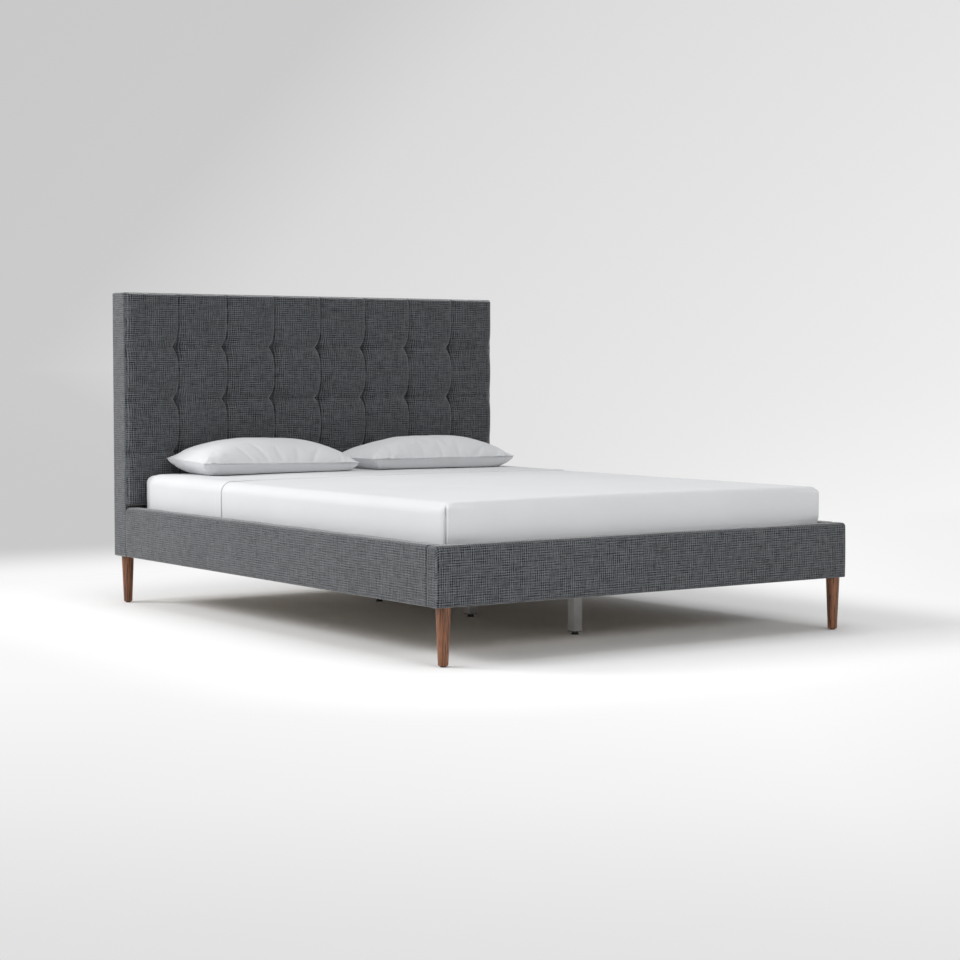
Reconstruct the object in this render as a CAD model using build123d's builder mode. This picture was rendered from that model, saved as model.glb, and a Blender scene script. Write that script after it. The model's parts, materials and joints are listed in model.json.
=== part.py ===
"""Queen-size upholstered bed with a grid-tufted headboard, slatted base, mattress and bedding.

Millimetres. The origin is on the floor under the middle of the bed, +Y points to the head, +Z up.
Pieces on the -X side are called left, and those at the -Y end belong to the foot.
"""
import os

from build123d import *

os.makedirs("parts", exist_ok=True)

# Overall sizes
bed_width = 1675.0
well_length = 2046.0
headboard_height = 1171.0
headboard_depth = 102.0
leg_height = 179.0
rail_height = 186.0
rail_thickness = 58.0

# Upholstery
cover_cloth = 2.0
rail_padding = 10.0
rail_top_padding = 12.0
rail_edge_radius = 12.0
rail_corner_radius = 14.0

# Headboard build-up, from the back to the front
back_cloth = 1.5
post_width = 70.0
post_depth = 50.0
cross_rail_height = 70.0
middle_rail_offset = 4.5
panel_thickness = 9.0
band_thickness = 3.0
cover_depth = 17.0
apron_rise = 7.0
apron_cloth = 1.5

# Tufting of the headboard cover, measured from its seam with the band
tuft_columns = 7
tuft_rows = 3
crown_rise = 13.0
pleat_rise = 2.0
row_crown_rise = 6.0
edge_crown_rise = 2.0
tuft_sink = 11.0
side_pull = 4.0
tie_diameter = 3.0
tie_hole_diameter = 3.4
toggle_diameter = 16.0
toggle_thickness = 4.0

# Rail fittings
bracket_leg = 45.0
bracket_height = 48.0
bracket_thickness = 3.0
bracket_lift = 4.0
bracket_bolt_setback = 26.0
bracket_bolt_spacing = 24.0
bolt_diameter = 8.0
bolt_hole_diameter = 9.0
bolt_head_diameter = 14.0
bolt_head_height = 5.0
bolt_length = 38.0
insert_diameter = 12.0
insert_length = 20.0
insert_hole_depth = 40.0

# Wooden legs
leg_top_diameter = 46.0
leg_foot_diameter = 31.5
leg_foot_chamfer = 3.0
leg_side_inset = 39.0
leg_front_inset = 28.0
leg_rear_inset = 36.0
leg_bolt_reach = 45.0
glide_diameter = 17.0
glide_thickness = 3.0
glide_nail_diameter = 3.0
glide_nail_length = 14.0

# Slatted base
ledger_thickness = 20.0
ledger_height = 38.0
ledger_lift = 1.0
ledger_end_gap = 58.0
ledger_screw_count = 7
slat_count = 14
slat_width = 70.0
slat_thickness = 18.0
slat_end_clearance = 2.0
slat_end_setback = 105.0
strap_width = 25.0
strap_thickness = 2.0
strap_inset = 170.0
screw_diameter = 4.0
screw_head_diameter = 8.0
screw_head_height = 3.0
screw_bite = 16.0

# Centre beam and its steel supports
beam_width = 45.0
hanger_gauge = 2.5
hanger_seat = 40.0
hanger_wing = 26.0
hanger_clearance = 0.5
hanger_screw_spacing = 22.0
support_count = 3
support_first = 367.0
support_spacing = 612.0
tube_width = 35.0
tube_wall = 2.0
tube_floor_gap = 12.0
tube_edge_radius = 3.0
tube_inner_radius = 1.0
support_plate_length = 90.0
support_plate_thickness = 3.0
support_screw_setback = 12.0
plug_flange = 2.5
plug_depth = 22.0
plug_clearance = 0.2
stem_diameter = 10.0
stem_length = 50.0
stem_clearance = 0.05
pad_diameter = 27.0
pad_top_diameter = 21.0
pad_height = 7.0
pad_base = 2.0

# Mattress and sheets
mattress_side_gap = 9.5
mattress_foot_gap = 4.0
mattress_head_gap = 28.0
mattress_height = 259.0
mattress_edge_radius = 38.0
mattress_corner_radius = 42.0
mattress_base_radius = 16.0
mattress_crown = 6.0
sheet_cloth = 1.5
sheet_tuck = 160.0
sheet_hem_from_head = 608.0

# Pillows
pillow_length = 698.0
pillow_depth = 310.0
pillow_loft = 130.0
pillow_seam_height = 45.0
pillow_seam_gauge = 9.0
pillow_press = 14.0
pillow_side_draw = 12.0
pillow_end_draw = 16.0
pillow_head_gap = 34.0
pillow_left_inset = 85.0
pillow_spacing = 6.0
rest_gap = 0.3

# Planes and levels that the pieces share
half_width = bed_width / 2
well_half_width = half_width - rail_thickness
overall_length = rail_thickness + well_length + headboard_depth
foot_front = -overall_length / 2
foot_back = foot_front + rail_thickness
head_front = foot_back + well_length
head_back = head_front + headboard_depth
rail_top = leg_height + rail_height

post_back = head_back - back_cloth
post_front = post_back - post_depth
panel_front = post_front - panel_thickness
cover_back = head_front + cover_depth
apron_top = rail_top + apron_rise
inner_half_width = half_width - band_thickness
inner_top = headboard_height - band_thickness

ledger_bottom = leg_height + ledger_lift
ledger_top = ledger_bottom + ledger_height
slat_top = ledger_top + slat_thickness
beam_bottom = ledger_bottom
beam_top = ledger_top

column_pitch = 2 * inner_half_width / (tuft_columns + 1)
row_pitch = (inner_top - apron_top) / (tuft_rows + 1)
tuft_middle = (apron_top + inner_top) / 2

mattress_half_width = well_half_width - mattress_side_gap
mattress_foot = foot_back + mattress_foot_gap
mattress_head = head_front - mattress_head_gap
mattress_top = slat_top + mattress_height

pieces = []


def finish(builder, label):
    """Label a finished piece and keep it for export."""
    builder.part.label = label
    pieces.append(builder.part)


def block(low, high, mode=Mode.ADD):
    """A square-edged block between two opposite corners."""
    size = [top - bottom for bottom, top in zip(low, high)]
    with Locations(low):
        Box(*size, align=Align.MIN, mode=mode)


def rod(start, axis, radius, length, mode=Mode.ADD):
    """A round bar of the given length from a start point along an axis."""
    with Locations(Plane(start, z_dir=axis)):
        Cylinder(radius, length, align=(Align.CENTER, Align.CENTER, Align.MIN), mode=mode)


def drill(starts, axis, diameter, depth):
    """Equal holes from each start point along an axis."""
    for start in starts:
        rod(start, axis, diameter / 2, depth, mode=Mode.SUBTRACT)


def headed_fastener(seat, axis, diameter, length, head_diameter, head_height):
    """A fastener whose head sits on a seat and whose shank runs from it along an axis."""
    seat_plane = Plane(seat, z_dir=axis)
    rod(seat, axis, diameter / 2, length)
    rod(seat_plane.from_local_coords((0, 0, -head_height)), axis, head_diameter / 2, head_height)


# Places of the rail fittings: each corner has two bolts into its side rail and two into its end
bracket_bottom = leg_height + bracket_lift
bracket_middle = bracket_bottom + bracket_height / 2
bolt_levels = [bracket_middle - bracket_bolt_spacing / 2, bracket_middle + bracket_bolt_spacing / 2]
bolt_rows = [foot_back + bracket_bolt_setback, head_front - bracket_bolt_setback]
bolt_columns = [-well_half_width + bracket_bolt_setback, well_half_width - bracket_bolt_setback]
side_bolts = {
    side: [(side * well_half_width, y, z) for y in bolt_rows for z in bolt_levels] for side in (-1, 1)
}
foot_bolts = [(x, foot_back, z) for x in bolt_columns for z in bolt_levels]
head_bolts = [(x, head_front, z) for x in bolt_columns for z in bolt_levels]

# Places of the screws in the ledgers, the beam hangers and the support plates
ledger_length = well_length - 2 * ledger_end_gap
ledger_screw_pitch = ledger_length / ledger_screw_count
ledger_middle = (ledger_bottom + ledger_top) / 2
well_middle = (foot_back + head_front) / 2
ledger_screw_rows = [
    well_middle + (index - (ledger_screw_count - 1) / 2) * ledger_screw_pitch
    for index in range(ledger_screw_count)
]
ledger_face = well_half_width - ledger_thickness
hanger_half_width = beam_width / 2 + hanger_clearance + hanger_gauge
hanger_screw_x = hanger_half_width + hanger_wing / 2
hanger_screw_levels = [
    ledger_middle - hanger_screw_spacing / 2,
    ledger_middle + hanger_screw_spacing / 2,
]
hanger_screw_spots = [(side * hanger_screw_x, z) for side in (-1, 1) for z in hanger_screw_levels]
hanger_depth = hanger_gauge + hanger_seat
support_rows = [foot_back + support_first + index * support_spacing for index in range(support_count)]
support_screw_y = support_plate_length / 2 - support_screw_setback
support_screw_x = beam_width / 2 - support_screw_setback
plate_screw_spots = [
    (side * support_screw_x, end * support_screw_y) for side in (-1, 1) for end in (-1, 1)
]
support_screw_spots = [(x, row + y) for row in support_rows for x, y in plate_screw_spots]

# Places of the slats and legs
slat_pitch = (well_length - 2 * slat_end_setback) / (slat_count - 1)
slat_rows = [foot_back + slat_end_setback + index * slat_pitch for index in range(slat_count)]
slat_half_length = well_half_width - slat_end_clearance
slat_screw_x = well_half_width - ledger_thickness / 2
leg_x = half_width - leg_side_inset
front_leg_y = foot_front + leg_front_inset
rear_leg_y = head_back - leg_rear_inset

# Headboard: timber frame
for side, name in ((-1, "left"), (1, "right")):
    outer = side * inner_half_width
    inner = side * (inner_half_width - post_width)
    with BuildPart() as post:
        block((min(outer, inner), post_front, leg_height), (max(outer, inner), post_back, inner_top))
        drill([(side * leg_x, rear_leg_y, leg_height)], (0, 0, 1), insert_diameter, insert_hole_depth)
    finish(post, f"headboard_post_{name}")

# The middle rail stands between the two lower rows of tufts, clear of their toggles
cross_rail_half_length = inner_half_width - post_width
middle_rail_level = tuft_middle - row_pitch / 2 + middle_rail_offset
cross_rail_bottoms = {
    "top": inner_top - cross_rail_height,
    "middle": middle_rail_level - cross_rail_height / 2,
    "bottom": leg_height,
}
for name, bottom in cross_rail_bottoms.items():
    with BuildPart() as cross_rail:
        block(
            (-cross_rail_half_length, post_front, bottom),
            (cross_rail_half_length, post_back, bottom + cross_rail_height),
        )
    finish(cross_rail, f"headboard_{name}_rail")

with BuildPart() as headboard_panel:
    block((-inner_half_width, panel_front, leg_height), (inner_half_width, post_front, inner_top))
    with Locations(Plane((0, panel_front, tuft_middle), x_dir=(1, 0, 0), z_dir=(0, -1, 0))):
        with GridLocations(column_pitch, row_pitch, tuft_columns, tuft_rows):
            Hole(tie_hole_diameter / 2)
finish(headboard_panel, "headboard_panel")

# Headboard: the apron that the rails and the beam fasten to, and its flat cloth
with BuildPart() as headboard_apron:
    block(
        (-inner_half_width, head_front + apron_cloth, leg_height),
        (inner_half_width, panel_front, apron_top),
    )
    drill(head_bolts, (0, 1, 0), insert_diameter, insert_hole_depth)
    drill([(x, head_front, z) for x, z in hanger_screw_spots], (0, 1, 0), screw_diameter, screw_bite)
finish(headboard_apron, "headboard_apron")

with BuildPart() as apron_cover:
    block(
        (-inner_half_width, head_front, leg_height),
        (inner_half_width, head_front + apron_cloth, apron_top),
    )
    drill(head_bolts, (0, 1, 0), bolt_hole_diameter, apron_cloth)
    drill([(x, head_front, z) for x, z in hanger_screw_spots], (0, 1, 0), screw_diameter, apron_cloth)
finish(apron_cover, "apron_cover")

# Headboard: foam, tufted cover, band and back cloth
with BuildPart() as headboard_foam:
    block((-inner_half_width, cover_back, apron_top), (inner_half_width, panel_front, inner_top))
    with Locations(Plane((0, cover_back, tuft_middle), x_dir=(1, 0, 0), z_dir=(0, -1, 0))):
        with GridLocations(column_pitch, row_pitch, tuft_columns, tuft_rows):
            Hole(tie_hole_diameter / 2)
finish(headboard_foam, "headboard_foam")

# The cover is lofted row by row through level sections at its tufts and half way between them.
# A section's front edge is an arc per column, so its creases are the pleats from tuft to tuft.
edge_section = (edge_crown_rise, 0.0, 0.0)
between_section = (crown_rise, pleat_rise, 0.0)
tuft_section = (row_crown_rise, -tuft_sink, side_pull)
row_ends = [edge_section] + [tuft_section] * tuft_rows + [edge_section]
with BuildPart() as headboard_cover:
    for row in range(tuft_rows + 1):
        row_sections = [row_ends[row], between_section, row_ends[row + 1]]
        for step, (crown, pleat, pull) in enumerate(row_sections):
            pleats = [
                (-inner_half_width + column * column_pitch, head_front - pleat)
                for column in range(tuft_columns + 2)
            ]
            pleats[0] = (-inner_half_width, head_front + pull)
            pleats[-1] = (inner_half_width, head_front + pull)
            back_corners = [(-inner_half_width, cover_back), (inner_half_width, cover_back)]
            with BuildSketch(Plane.XY.offset(apron_top + (row + step / 2) * row_pitch)):
                with BuildLine():
                    Polyline(pleats[0], *back_corners, pleats[-1])
                    for start, end in zip(pleats, pleats[1:]):
                        ThreePointArc(start, ((start[0] + end[0]) / 2, head_front - crown), end)
                make_face()
        loft()
finish(headboard_cover, "headboard_cover")

with BuildPart() as headboard_band:
    with BuildSketch(Plane.XZ.offset(-head_front)) as band_profile:
        with Locations((0, leg_height)):
            Rectangle(bed_width, headboard_height - leg_height, align=(Align.CENTER, Align.MIN))
        fillet(band_profile.vertices().group_by(Axis.Y)[-1], band_thickness)
        with Locations((0, leg_height)):
            Rectangle(
                2 * inner_half_width,
                inner_top - leg_height,
                align=(Align.CENTER, Align.MIN),
                mode=Mode.SUBTRACT,
            )
    extrude(amount=-headboard_depth)
finish(headboard_band, "headboard_band")

with BuildPart() as headboard_back_cloth:
    block((-inner_half_width, post_back, leg_height), (inner_half_width, head_back, inner_top))
finish(headboard_back_cloth, "headboard_back_cloth")

# Headboard: the ties run from the back of the cover, through foam and panel, to their toggles
toggle_back = post_front + toggle_thickness
with BuildPart() as tuft_toggles:
    with Locations(Plane((0, post_front, tuft_middle), x_dir=(1, 0, 0), z_dir=(0, 1, 0))):
        with GridLocations(column_pitch, row_pitch, tuft_columns, tuft_rows):
            Cylinder(toggle_diameter / 2, toggle_thickness, align=(Align.CENTER, Align.CENTER, Align.MIN))
            Hole(tie_hole_diameter / 2)
finish(tuft_toggles, "tuft_toggles")

with BuildPart() as tuft_ties:
    with Locations(Plane((0, cover_back, tuft_middle), x_dir=(1, 0, 0), z_dir=(0, 1, 0))):
        with GridLocations(column_pitch, row_pitch, tuft_columns, tuft_rows):
            Cylinder(
                tie_diameter / 2,
                toggle_back - cover_back,
                align=(Align.CENTER, Align.CENTER, Align.MIN),
            )
finish(tuft_ties, "tuft_ties")

# Side rails: a board, padding on its outer face and top, and a cloth sleeve round both
rail_middle = half_width - rail_thickness / 2
board_outer = half_width - cover_cloth - rail_padding
board_inner = well_half_width + cover_cloth
board_bottom = leg_height + cover_cloth
board_top = rail_top - cover_cloth - rail_top_padding


def side_rail_section(side, inset):
    """A side rail's section, soft along its top edges, drawn in on every face by an inset."""
    with BuildSketch(Plane.XZ.offset(-foot_back)) as section:
        with Locations((side * rail_middle, leg_height + inset)):
            Rectangle(
                rail_thickness - 2 * inset,
                rail_height - 2 * inset,
                align=(Align.CENTER, Align.MIN),
            )
        fillet(section.vertices().group_by(Axis.Y)[-1], rail_edge_radius - inset)
    return section.sketch


for side, name in ((-1, "left"), (1, "right")):
    ledger_screw_spots = [(side * well_half_width, y, ledger_middle) for y in ledger_screw_rows]
    outwards = (side, 0, 0)
    board_faces = sorted([side * board_inner, side * board_outer])
    board_low = (board_faces[0], foot_back, board_bottom)
    board_high = (board_faces[1], head_front, board_top)
    with BuildPart() as rail_board:
        block(board_low, board_high)
        drill(side_bolts[side], outwards, insert_diameter, insert_hole_depth)
        drill(ledger_screw_spots, outwards, screw_diameter, screw_bite)
    finish(rail_board, f"side_rail_board_{name}")

    with BuildPart() as rail_padding_piece:
        extrude(side_rail_section(side, cover_cloth), amount=-well_length)
        block(board_low, board_high, mode=Mode.SUBTRACT)
    finish(rail_padding_piece, f"side_rail_padding_{name}")

    with BuildPart() as rail_cover:
        extrude(side_rail_section(side, 0), amount=-well_length)
        extrude(side_rail_section(side, cover_cloth), amount=-well_length, mode=Mode.SUBTRACT)
        drill(side_bolts[side], outwards, bolt_hole_diameter, cover_cloth)
        drill(ledger_screw_spots, outwards, screw_diameter, cover_cloth)
    finish(rail_cover, f"side_rail_cover_{name}")


# Foot rail: the same build-up, rounded at its two front corners
def foot_rail_form(inset):
    """The foot rail's outline, drawn in on every face by an inset."""
    with BuildPart() as form:
        block(
            (-half_width + inset, foot_front + inset, leg_height + inset),
            (half_width - inset, foot_back - inset, rail_top - inset),
        )
        front_corners = form.edges().filter_by(Axis.Z).group_by(Axis.Y)[0]
        fillet(front_corners, rail_corner_radius - inset)
        fillet(form.faces().sort_by(Axis.Z)[-1].edges(), rail_edge_radius - inset)
    return form.part


foot_board_half_length = half_width - cover_cloth - rail_padding
foot_board_low = (-foot_board_half_length, foot_front + cover_cloth + rail_padding, board_bottom)
foot_board_high = (foot_board_half_length, foot_back - cover_cloth, board_top)
foot_leg_spots = [(side * leg_x, front_leg_y, leg_height) for side in (-1, 1)]
foot_hanger_spots = [(x, foot_back, z) for x, z in hanger_screw_spots]
with BuildPart() as foot_rail_board:
    block(foot_board_low, foot_board_high)
    drill(foot_bolts, (0, -1, 0), insert_diameter, insert_hole_depth)
    drill(foot_hanger_spots, (0, -1, 0), screw_diameter, screw_bite)
    drill(foot_leg_spots, (0, 0, 1), insert_diameter, insert_hole_depth)
finish(foot_rail_board, "foot_rail_board")

with BuildPart() as foot_rail_padding:
    add(foot_rail_form(cover_cloth))
    block(foot_board_low, foot_board_high, mode=Mode.SUBTRACT)
finish(foot_rail_padding, "foot_rail_padding")

with BuildPart() as foot_rail_cover:
    add(foot_rail_form(0))
    add(foot_rail_form(cover_cloth), mode=Mode.SUBTRACT)
    drill(foot_bolts, (0, -1, 0), bolt_hole_diameter, cover_cloth)
    drill(foot_hanger_spots, (0, -1, 0), screw_diameter, cover_cloth)
    drill(foot_leg_spots, (0, 0, 1), bolt_hole_diameter, cover_cloth)
finish(foot_rail_cover, "foot_rail_cover")

# Rail fittings: an angle bracket in each corner, its bolts, and the threaded inserts in the boards
with BuildPart() as corner_brackets:
    for side in (-1, 1):
        for end, inwards in ((foot_back, 1), (head_front, -1)):
            wall_x = side * well_half_width
            for reach_x, reach_y in ((bracket_leg, bracket_thickness), (bracket_thickness, bracket_leg)):
                x_span = sorted([wall_x, wall_x - side * reach_x])
                y_span = sorted([end, end + inwards * reach_y])
                block(
                    (x_span[0], y_span[0], bracket_bottom),
                    (x_span[1], y_span[1], bracket_bottom + bracket_height),
                )
    for side in (-1, 1):
        inner_faces = [(side * (well_half_width - bracket_thickness), y, z) for _, y, z in side_bolts[side]]
        drill(inner_faces, (side, 0, 0), bolt_hole_diameter, bracket_thickness)
    foot_faces = [(x, y + bracket_thickness, z) for x, y, z in foot_bolts]
    drill(foot_faces, (0, -1, 0), bolt_hole_diameter, bracket_thickness)
    head_faces = [(x, y - bracket_thickness, z) for x, y, z in head_bolts]
    drill(head_faces, (0, 1, 0), bolt_hole_diameter, bracket_thickness)
finish(corner_brackets, "corner_brackets")

bolt_seats = [((x, y + bracket_thickness, z), (0, -1, 0)) for x, y, z in foot_bolts]
bolt_seats += [((x, y - bracket_thickness, z), (0, 1, 0)) for x, y, z in head_bolts]
for side in (-1, 1):
    bolt_seats += [((x - side * bracket_thickness, y, z), (side, 0, 0)) for x, y, z in side_bolts[side]]
with BuildPart() as corner_bolts:
    for seat, axis in bolt_seats:
        headed_fastener(seat, axis, bolt_diameter, bolt_length, bolt_head_diameter, bolt_head_height)
finish(corner_bolts, "corner_bolts")

insert_mouths = [((x, y - cover_cloth, z), (0, -1, 0)) for x, y, z in foot_bolts]
insert_mouths += [((x, y + apron_cloth, z), (0, 1, 0)) for x, y, z in head_bolts]
for side in (-1, 1):
    insert_mouths += [((x + side * cover_cloth, y, z), (side, 0, 0)) for x, y, z in side_bolts[side]]
    insert_mouths += [((side * leg_x, front_leg_y, board_bottom), (0, 0, 1))]
    insert_mouths += [((side * leg_x, rear_leg_y, leg_height), (0, 0, 1))]
with BuildPart() as insert_nuts:
    for mouth, axis in insert_mouths:
        rod(mouth, axis, insert_diameter / 2, insert_length)
    for mouth, axis in insert_mouths:
        rod(mouth, axis, bolt_diameter / 2, insert_length, mode=Mode.SUBTRACT)
finish(insert_nuts, "insert_nuts")

# Wooden legs, their hanger bolts and their nail-on glides
leg_spots = {
    "front_left": (-leg_x, front_leg_y),
    "front_right": (leg_x, front_leg_y),
    "rear_left": (-leg_x, rear_leg_y),
    "rear_right": (leg_x, rear_leg_y),
}
for name, (x, y) in leg_spots.items():
    with BuildPart() as leg:
        with Locations((x, y, glide_thickness)):
            Cone(
                leg_foot_diameter / 2,
                leg_top_diameter / 2,
                leg_height - glide_thickness,
                align=(Align.CENTER, Align.CENTER, Align.MIN),
            )
        chamfer(leg.faces().sort_by(Axis.Z)[0].edges(), leg_foot_chamfer)
        drill([(x, y, leg_height)], (0, 0, -1), bolt_diameter, leg_bolt_reach)
        drill([(x, y, glide_thickness)], (0, 0, 1), glide_nail_diameter, glide_nail_length)
    finish(leg, f"leg_{name}")

with BuildPart() as leg_bolts:
    for x, y in leg_spots.values():
        rod((x, y, leg_height - leg_bolt_reach), (0, 0, 1), bolt_diameter / 2, leg_bolt_reach + bolt_length)
finish(leg_bolts, "leg_bolts")

with BuildPart() as leg_glides:
    for x, y in leg_spots.values():
        headed_fastener(
            (x, y, glide_thickness),
            (0, 0, 1),
            glide_nail_diameter,
            glide_nail_length,
            glide_diameter,
            glide_thickness,
        )
finish(leg_glides, "leg_glides")

# Slatted base: ledgers on the side rails, slats across them and straps that space the slats
for side, name in ((-1, "left"), (1, "right")):
    x_span = sorted([side * ledger_face, side * well_half_width])
    with BuildPart() as ledger:
        block(
            (x_span[0], foot_back + ledger_end_gap, ledger_bottom),
            (x_span[1], head_front - ledger_end_gap, ledger_top),
        )
        drill(
            [(side * ledger_face, y, ledger_middle) for y in ledger_screw_rows],
            (side, 0, 0),
            screw_diameter,
            ledger_thickness,
        )
        slat_screw_holes = [(side * slat_screw_x, y, ledger_top) for y in slat_rows]
        drill(slat_screw_holes, (0, 0, -1), screw_diameter, screw_bite)
    finish(ledger, f"slat_ledger_{name}")

with BuildPart() as ledger_screws:
    for side in (-1, 1):
        for y in ledger_screw_rows:
            headed_fastener(
                (side * ledger_face, y, ledger_middle),
                (side, 0, 0),
                screw_diameter,
                ledger_thickness + screw_bite,
                screw_head_diameter,
                screw_head_height,
            )
finish(ledger_screws, "ledger_screws")

slat_screw_spots = [(side * slat_screw_x, y, slat_top) for side in (-1, 1) for y in slat_rows]
with BuildPart() as slats:
    for y in slat_rows:
        block(
            (-slat_half_length, y - slat_width / 2, ledger_top),
            (slat_half_length, y + slat_width / 2, slat_top),
        )
    with Locations(slat_screw_spots):
        CounterBoreHole(screw_diameter / 2, screw_head_diameter / 2, screw_head_height, depth=slat_thickness)
finish(slats, "slats")

with BuildPart() as slat_screws:
    for x, y, z in slat_screw_spots:
        headed_fastener(
            (x, y, z - screw_head_height),
            (0, 0, -1),
            screw_diameter,
            slat_thickness - screw_head_height + screw_bite,
            screw_head_diameter,
            screw_head_height,
        )
finish(slat_screws, "slat_screws")

with BuildPart() as slat_straps:
    for side in (-1, 1):
        strap_x = side * (well_half_width - strap_inset)
        block(
            (strap_x - strap_width / 2, slat_rows[0] - slat_width / 2, ledger_top - strap_thickness),
            (strap_x + strap_width / 2, slat_rows[-1] + slat_width / 2, ledger_top),
        )
finish(slat_straps, "slat_straps")

# Centre beam, carried at each end by a folded hanger
with BuildPart() as centre_beam:
    block(
        (-beam_width / 2, foot_back + hanger_gauge + hanger_clearance, beam_bottom),
        (beam_width / 2, head_front - hanger_gauge - hanger_clearance, beam_top),
    )
    drill([(x, y, beam_bottom) for x, y in support_screw_spots], (0, 0, 1), screw_diameter, screw_bite)
finish(centre_beam, "centre_beam")

hanger_ends = {"foot": (foot_back, 1), "head": (head_front, -1)}
channel_half_width = beam_width / 2 + hanger_clearance
hanger_screw_seats = []
for name, (wall, inwards) in hanger_ends.items():
    plate_face = wall + inwards * hanger_gauge
    plate_span = sorted([wall, plate_face])
    seat_span = sorted([wall, wall + inwards * hanger_depth])
    channel_span = sorted([plate_face, wall + inwards * hanger_depth])
    screw_spots = [(x, plate_face, z) for x, z in hanger_screw_spots]
    hanger_screw_seats += [(spot, (0, -inwards, 0)) for spot in screw_spots]
    with BuildPart() as hanger:
        block(
            (-hanger_half_width - hanger_wing, plate_span[0], beam_bottom - hanger_gauge),
            (hanger_half_width + hanger_wing, plate_span[1], beam_top),
        )
        block(
            (-hanger_half_width, seat_span[0], beam_bottom - hanger_gauge),
            (hanger_half_width, seat_span[1], beam_top),
        )
        block(
            (-channel_half_width, channel_span[0], beam_bottom),
            (channel_half_width, channel_span[1], beam_top),
            mode=Mode.SUBTRACT,
        )
        drill(screw_spots, (0, -inwards, 0), screw_diameter, hanger_gauge)
    finish(hanger, f"beam_hanger_{name}")

with BuildPart() as hanger_screws:
    for seat, axis in hanger_screw_seats:
        headed_fastener(seat, axis, screw_diameter, screw_bite, screw_head_diameter, screw_head_height)
finish(hanger_screws, "hanger_screws")

# Steel supports under the beam: a square tube with a top plate, a plug and a levelling foot
plate_bottom = beam_bottom - support_plate_thickness
tube_bore_width = tube_width - 2 * tube_wall
support_names = ["foot", "middle", "head"]
for name, row in zip(support_names, support_rows):
    with BuildPart() as support_leg:
        with BuildSketch(Plane((0, row, tube_floor_gap))):
            RectangleRounded(tube_width, tube_width, tube_edge_radius)
            RectangleRounded(tube_bore_width, tube_bore_width, tube_inner_radius, mode=Mode.SUBTRACT)
        extrude(amount=plate_bottom - tube_floor_gap)
        block(
            (-beam_width / 2, row - support_plate_length / 2, plate_bottom),
            (beam_width / 2, row + support_plate_length / 2, beam_bottom),
        )
        plate_screw_holes = [(x, row + y, plate_bottom) for x, y in plate_screw_spots]
        drill(plate_screw_holes, (0, 0, 1), screw_diameter, support_plate_thickness)
    finish(support_leg, f"support_leg_{name}")

with BuildPart() as support_screws:
    for x, y in support_screw_spots:
        headed_fastener(
            (x, y, plate_bottom),
            (0, 0, 1),
            screw_diameter,
            support_plate_thickness + screw_bite,
            screw_head_diameter,
            screw_head_height,
        )
finish(support_screws, "support_screws")

stem_bore = stem_diameter + 2 * stem_clearance
plug_width = tube_bore_width - 2 * plug_clearance
plug_bottom = tube_floor_gap - plug_flange
with BuildPart() as support_plugs:
    for row in support_rows:
        with BuildSketch(Plane((0, row, plug_bottom))):
            RectangleRounded(tube_width, tube_width, tube_edge_radius)
        extrude(amount=plug_flange)
        with BuildSketch(Plane((0, row, tube_floor_gap))):
            RectangleRounded(plug_width, plug_width, tube_inner_radius)
        extrude(amount=plug_depth)
    drill([(0, row, plug_bottom) for row in support_rows], (0, 0, 1), stem_bore, plug_flange + plug_depth)
finish(support_plugs, "support_plugs")

for name, row in zip(support_names, support_rows):
    with BuildPart() as levelling_stem:
        rod((0, row, pad_base + stem_clearance), (0, 0, 1), stem_diameter / 2, stem_length)
    finish(levelling_stem, f"levelling_stem_{name}")

    with BuildPart() as levelling_pad:
        with Locations((0, row, 0)):
            Cone(
                pad_diameter / 2,
                pad_top_diameter / 2,
                pad_height,
                align=(Align.CENTER, Align.CENTER, Align.MIN),
            )
        drill([(0, row, pad_base)], (0, 0, 1), stem_bore, pad_height - pad_base)
    finish(levelling_pad, f"levelling_pad_{name}")


# Mattress in its two sheets: three forms, one inside the next
def mattress_form(inset):
    """The dressed mattress, crowned and round-edged, drawn in on every face by an inset."""
    form_half_width = mattress_half_width - inset
    form_bottom = slat_top + inset
    form_top = mattress_top - inset
    shoulder = form_top - mattress_crown
    with BuildPart() as form:
        with BuildSketch(Plane.XZ.offset(-mattress_foot - inset)):
            with BuildLine():
                Polyline(
                    (-form_half_width, shoulder),
                    (-form_half_width, form_bottom),
                    (form_half_width, form_bottom),
                    (form_half_width, shoulder),
                )
                ThreePointArc((-form_half_width, shoulder), (0, form_top), (form_half_width, shoulder))
            make_face()
        extrude(amount=mattress_foot - mattress_head + 2 * inset)
        fillet(form.edges().filter_by(Axis.Z), mattress_corner_radius - inset)
        fillet(form.faces().sort_by(Axis.Z)[-1].edges(), mattress_edge_radius - inset)
        fillet(form.faces().sort_by(Axis.Z)[0].edges(), mattress_base_radius - inset)
    return form.part


hem_y = mattress_head - sheet_hem_from_head
tuck_x = mattress_half_width - sheet_tuck
flat_form = mattress_form(0)
fitted_form = mattress_form(sheet_cloth)
core_form = mattress_form(2 * sheet_cloth)

with BuildPart() as mattress_core:
    add(core_form)
finish(mattress_core, "mattress_core")

with BuildPart() as fitted_sheet:
    add(fitted_form)
    add(core_form, mode=Mode.SUBTRACT)
    block(
        (-tuck_x, mattress_foot + sheet_tuck, slat_top),
        (tuck_x, mattress_head - sheet_tuck, slat_top + 2 * sheet_cloth),
        mode=Mode.SUBTRACT,
    )
finish(fitted_sheet, "fitted_sheet")

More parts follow.
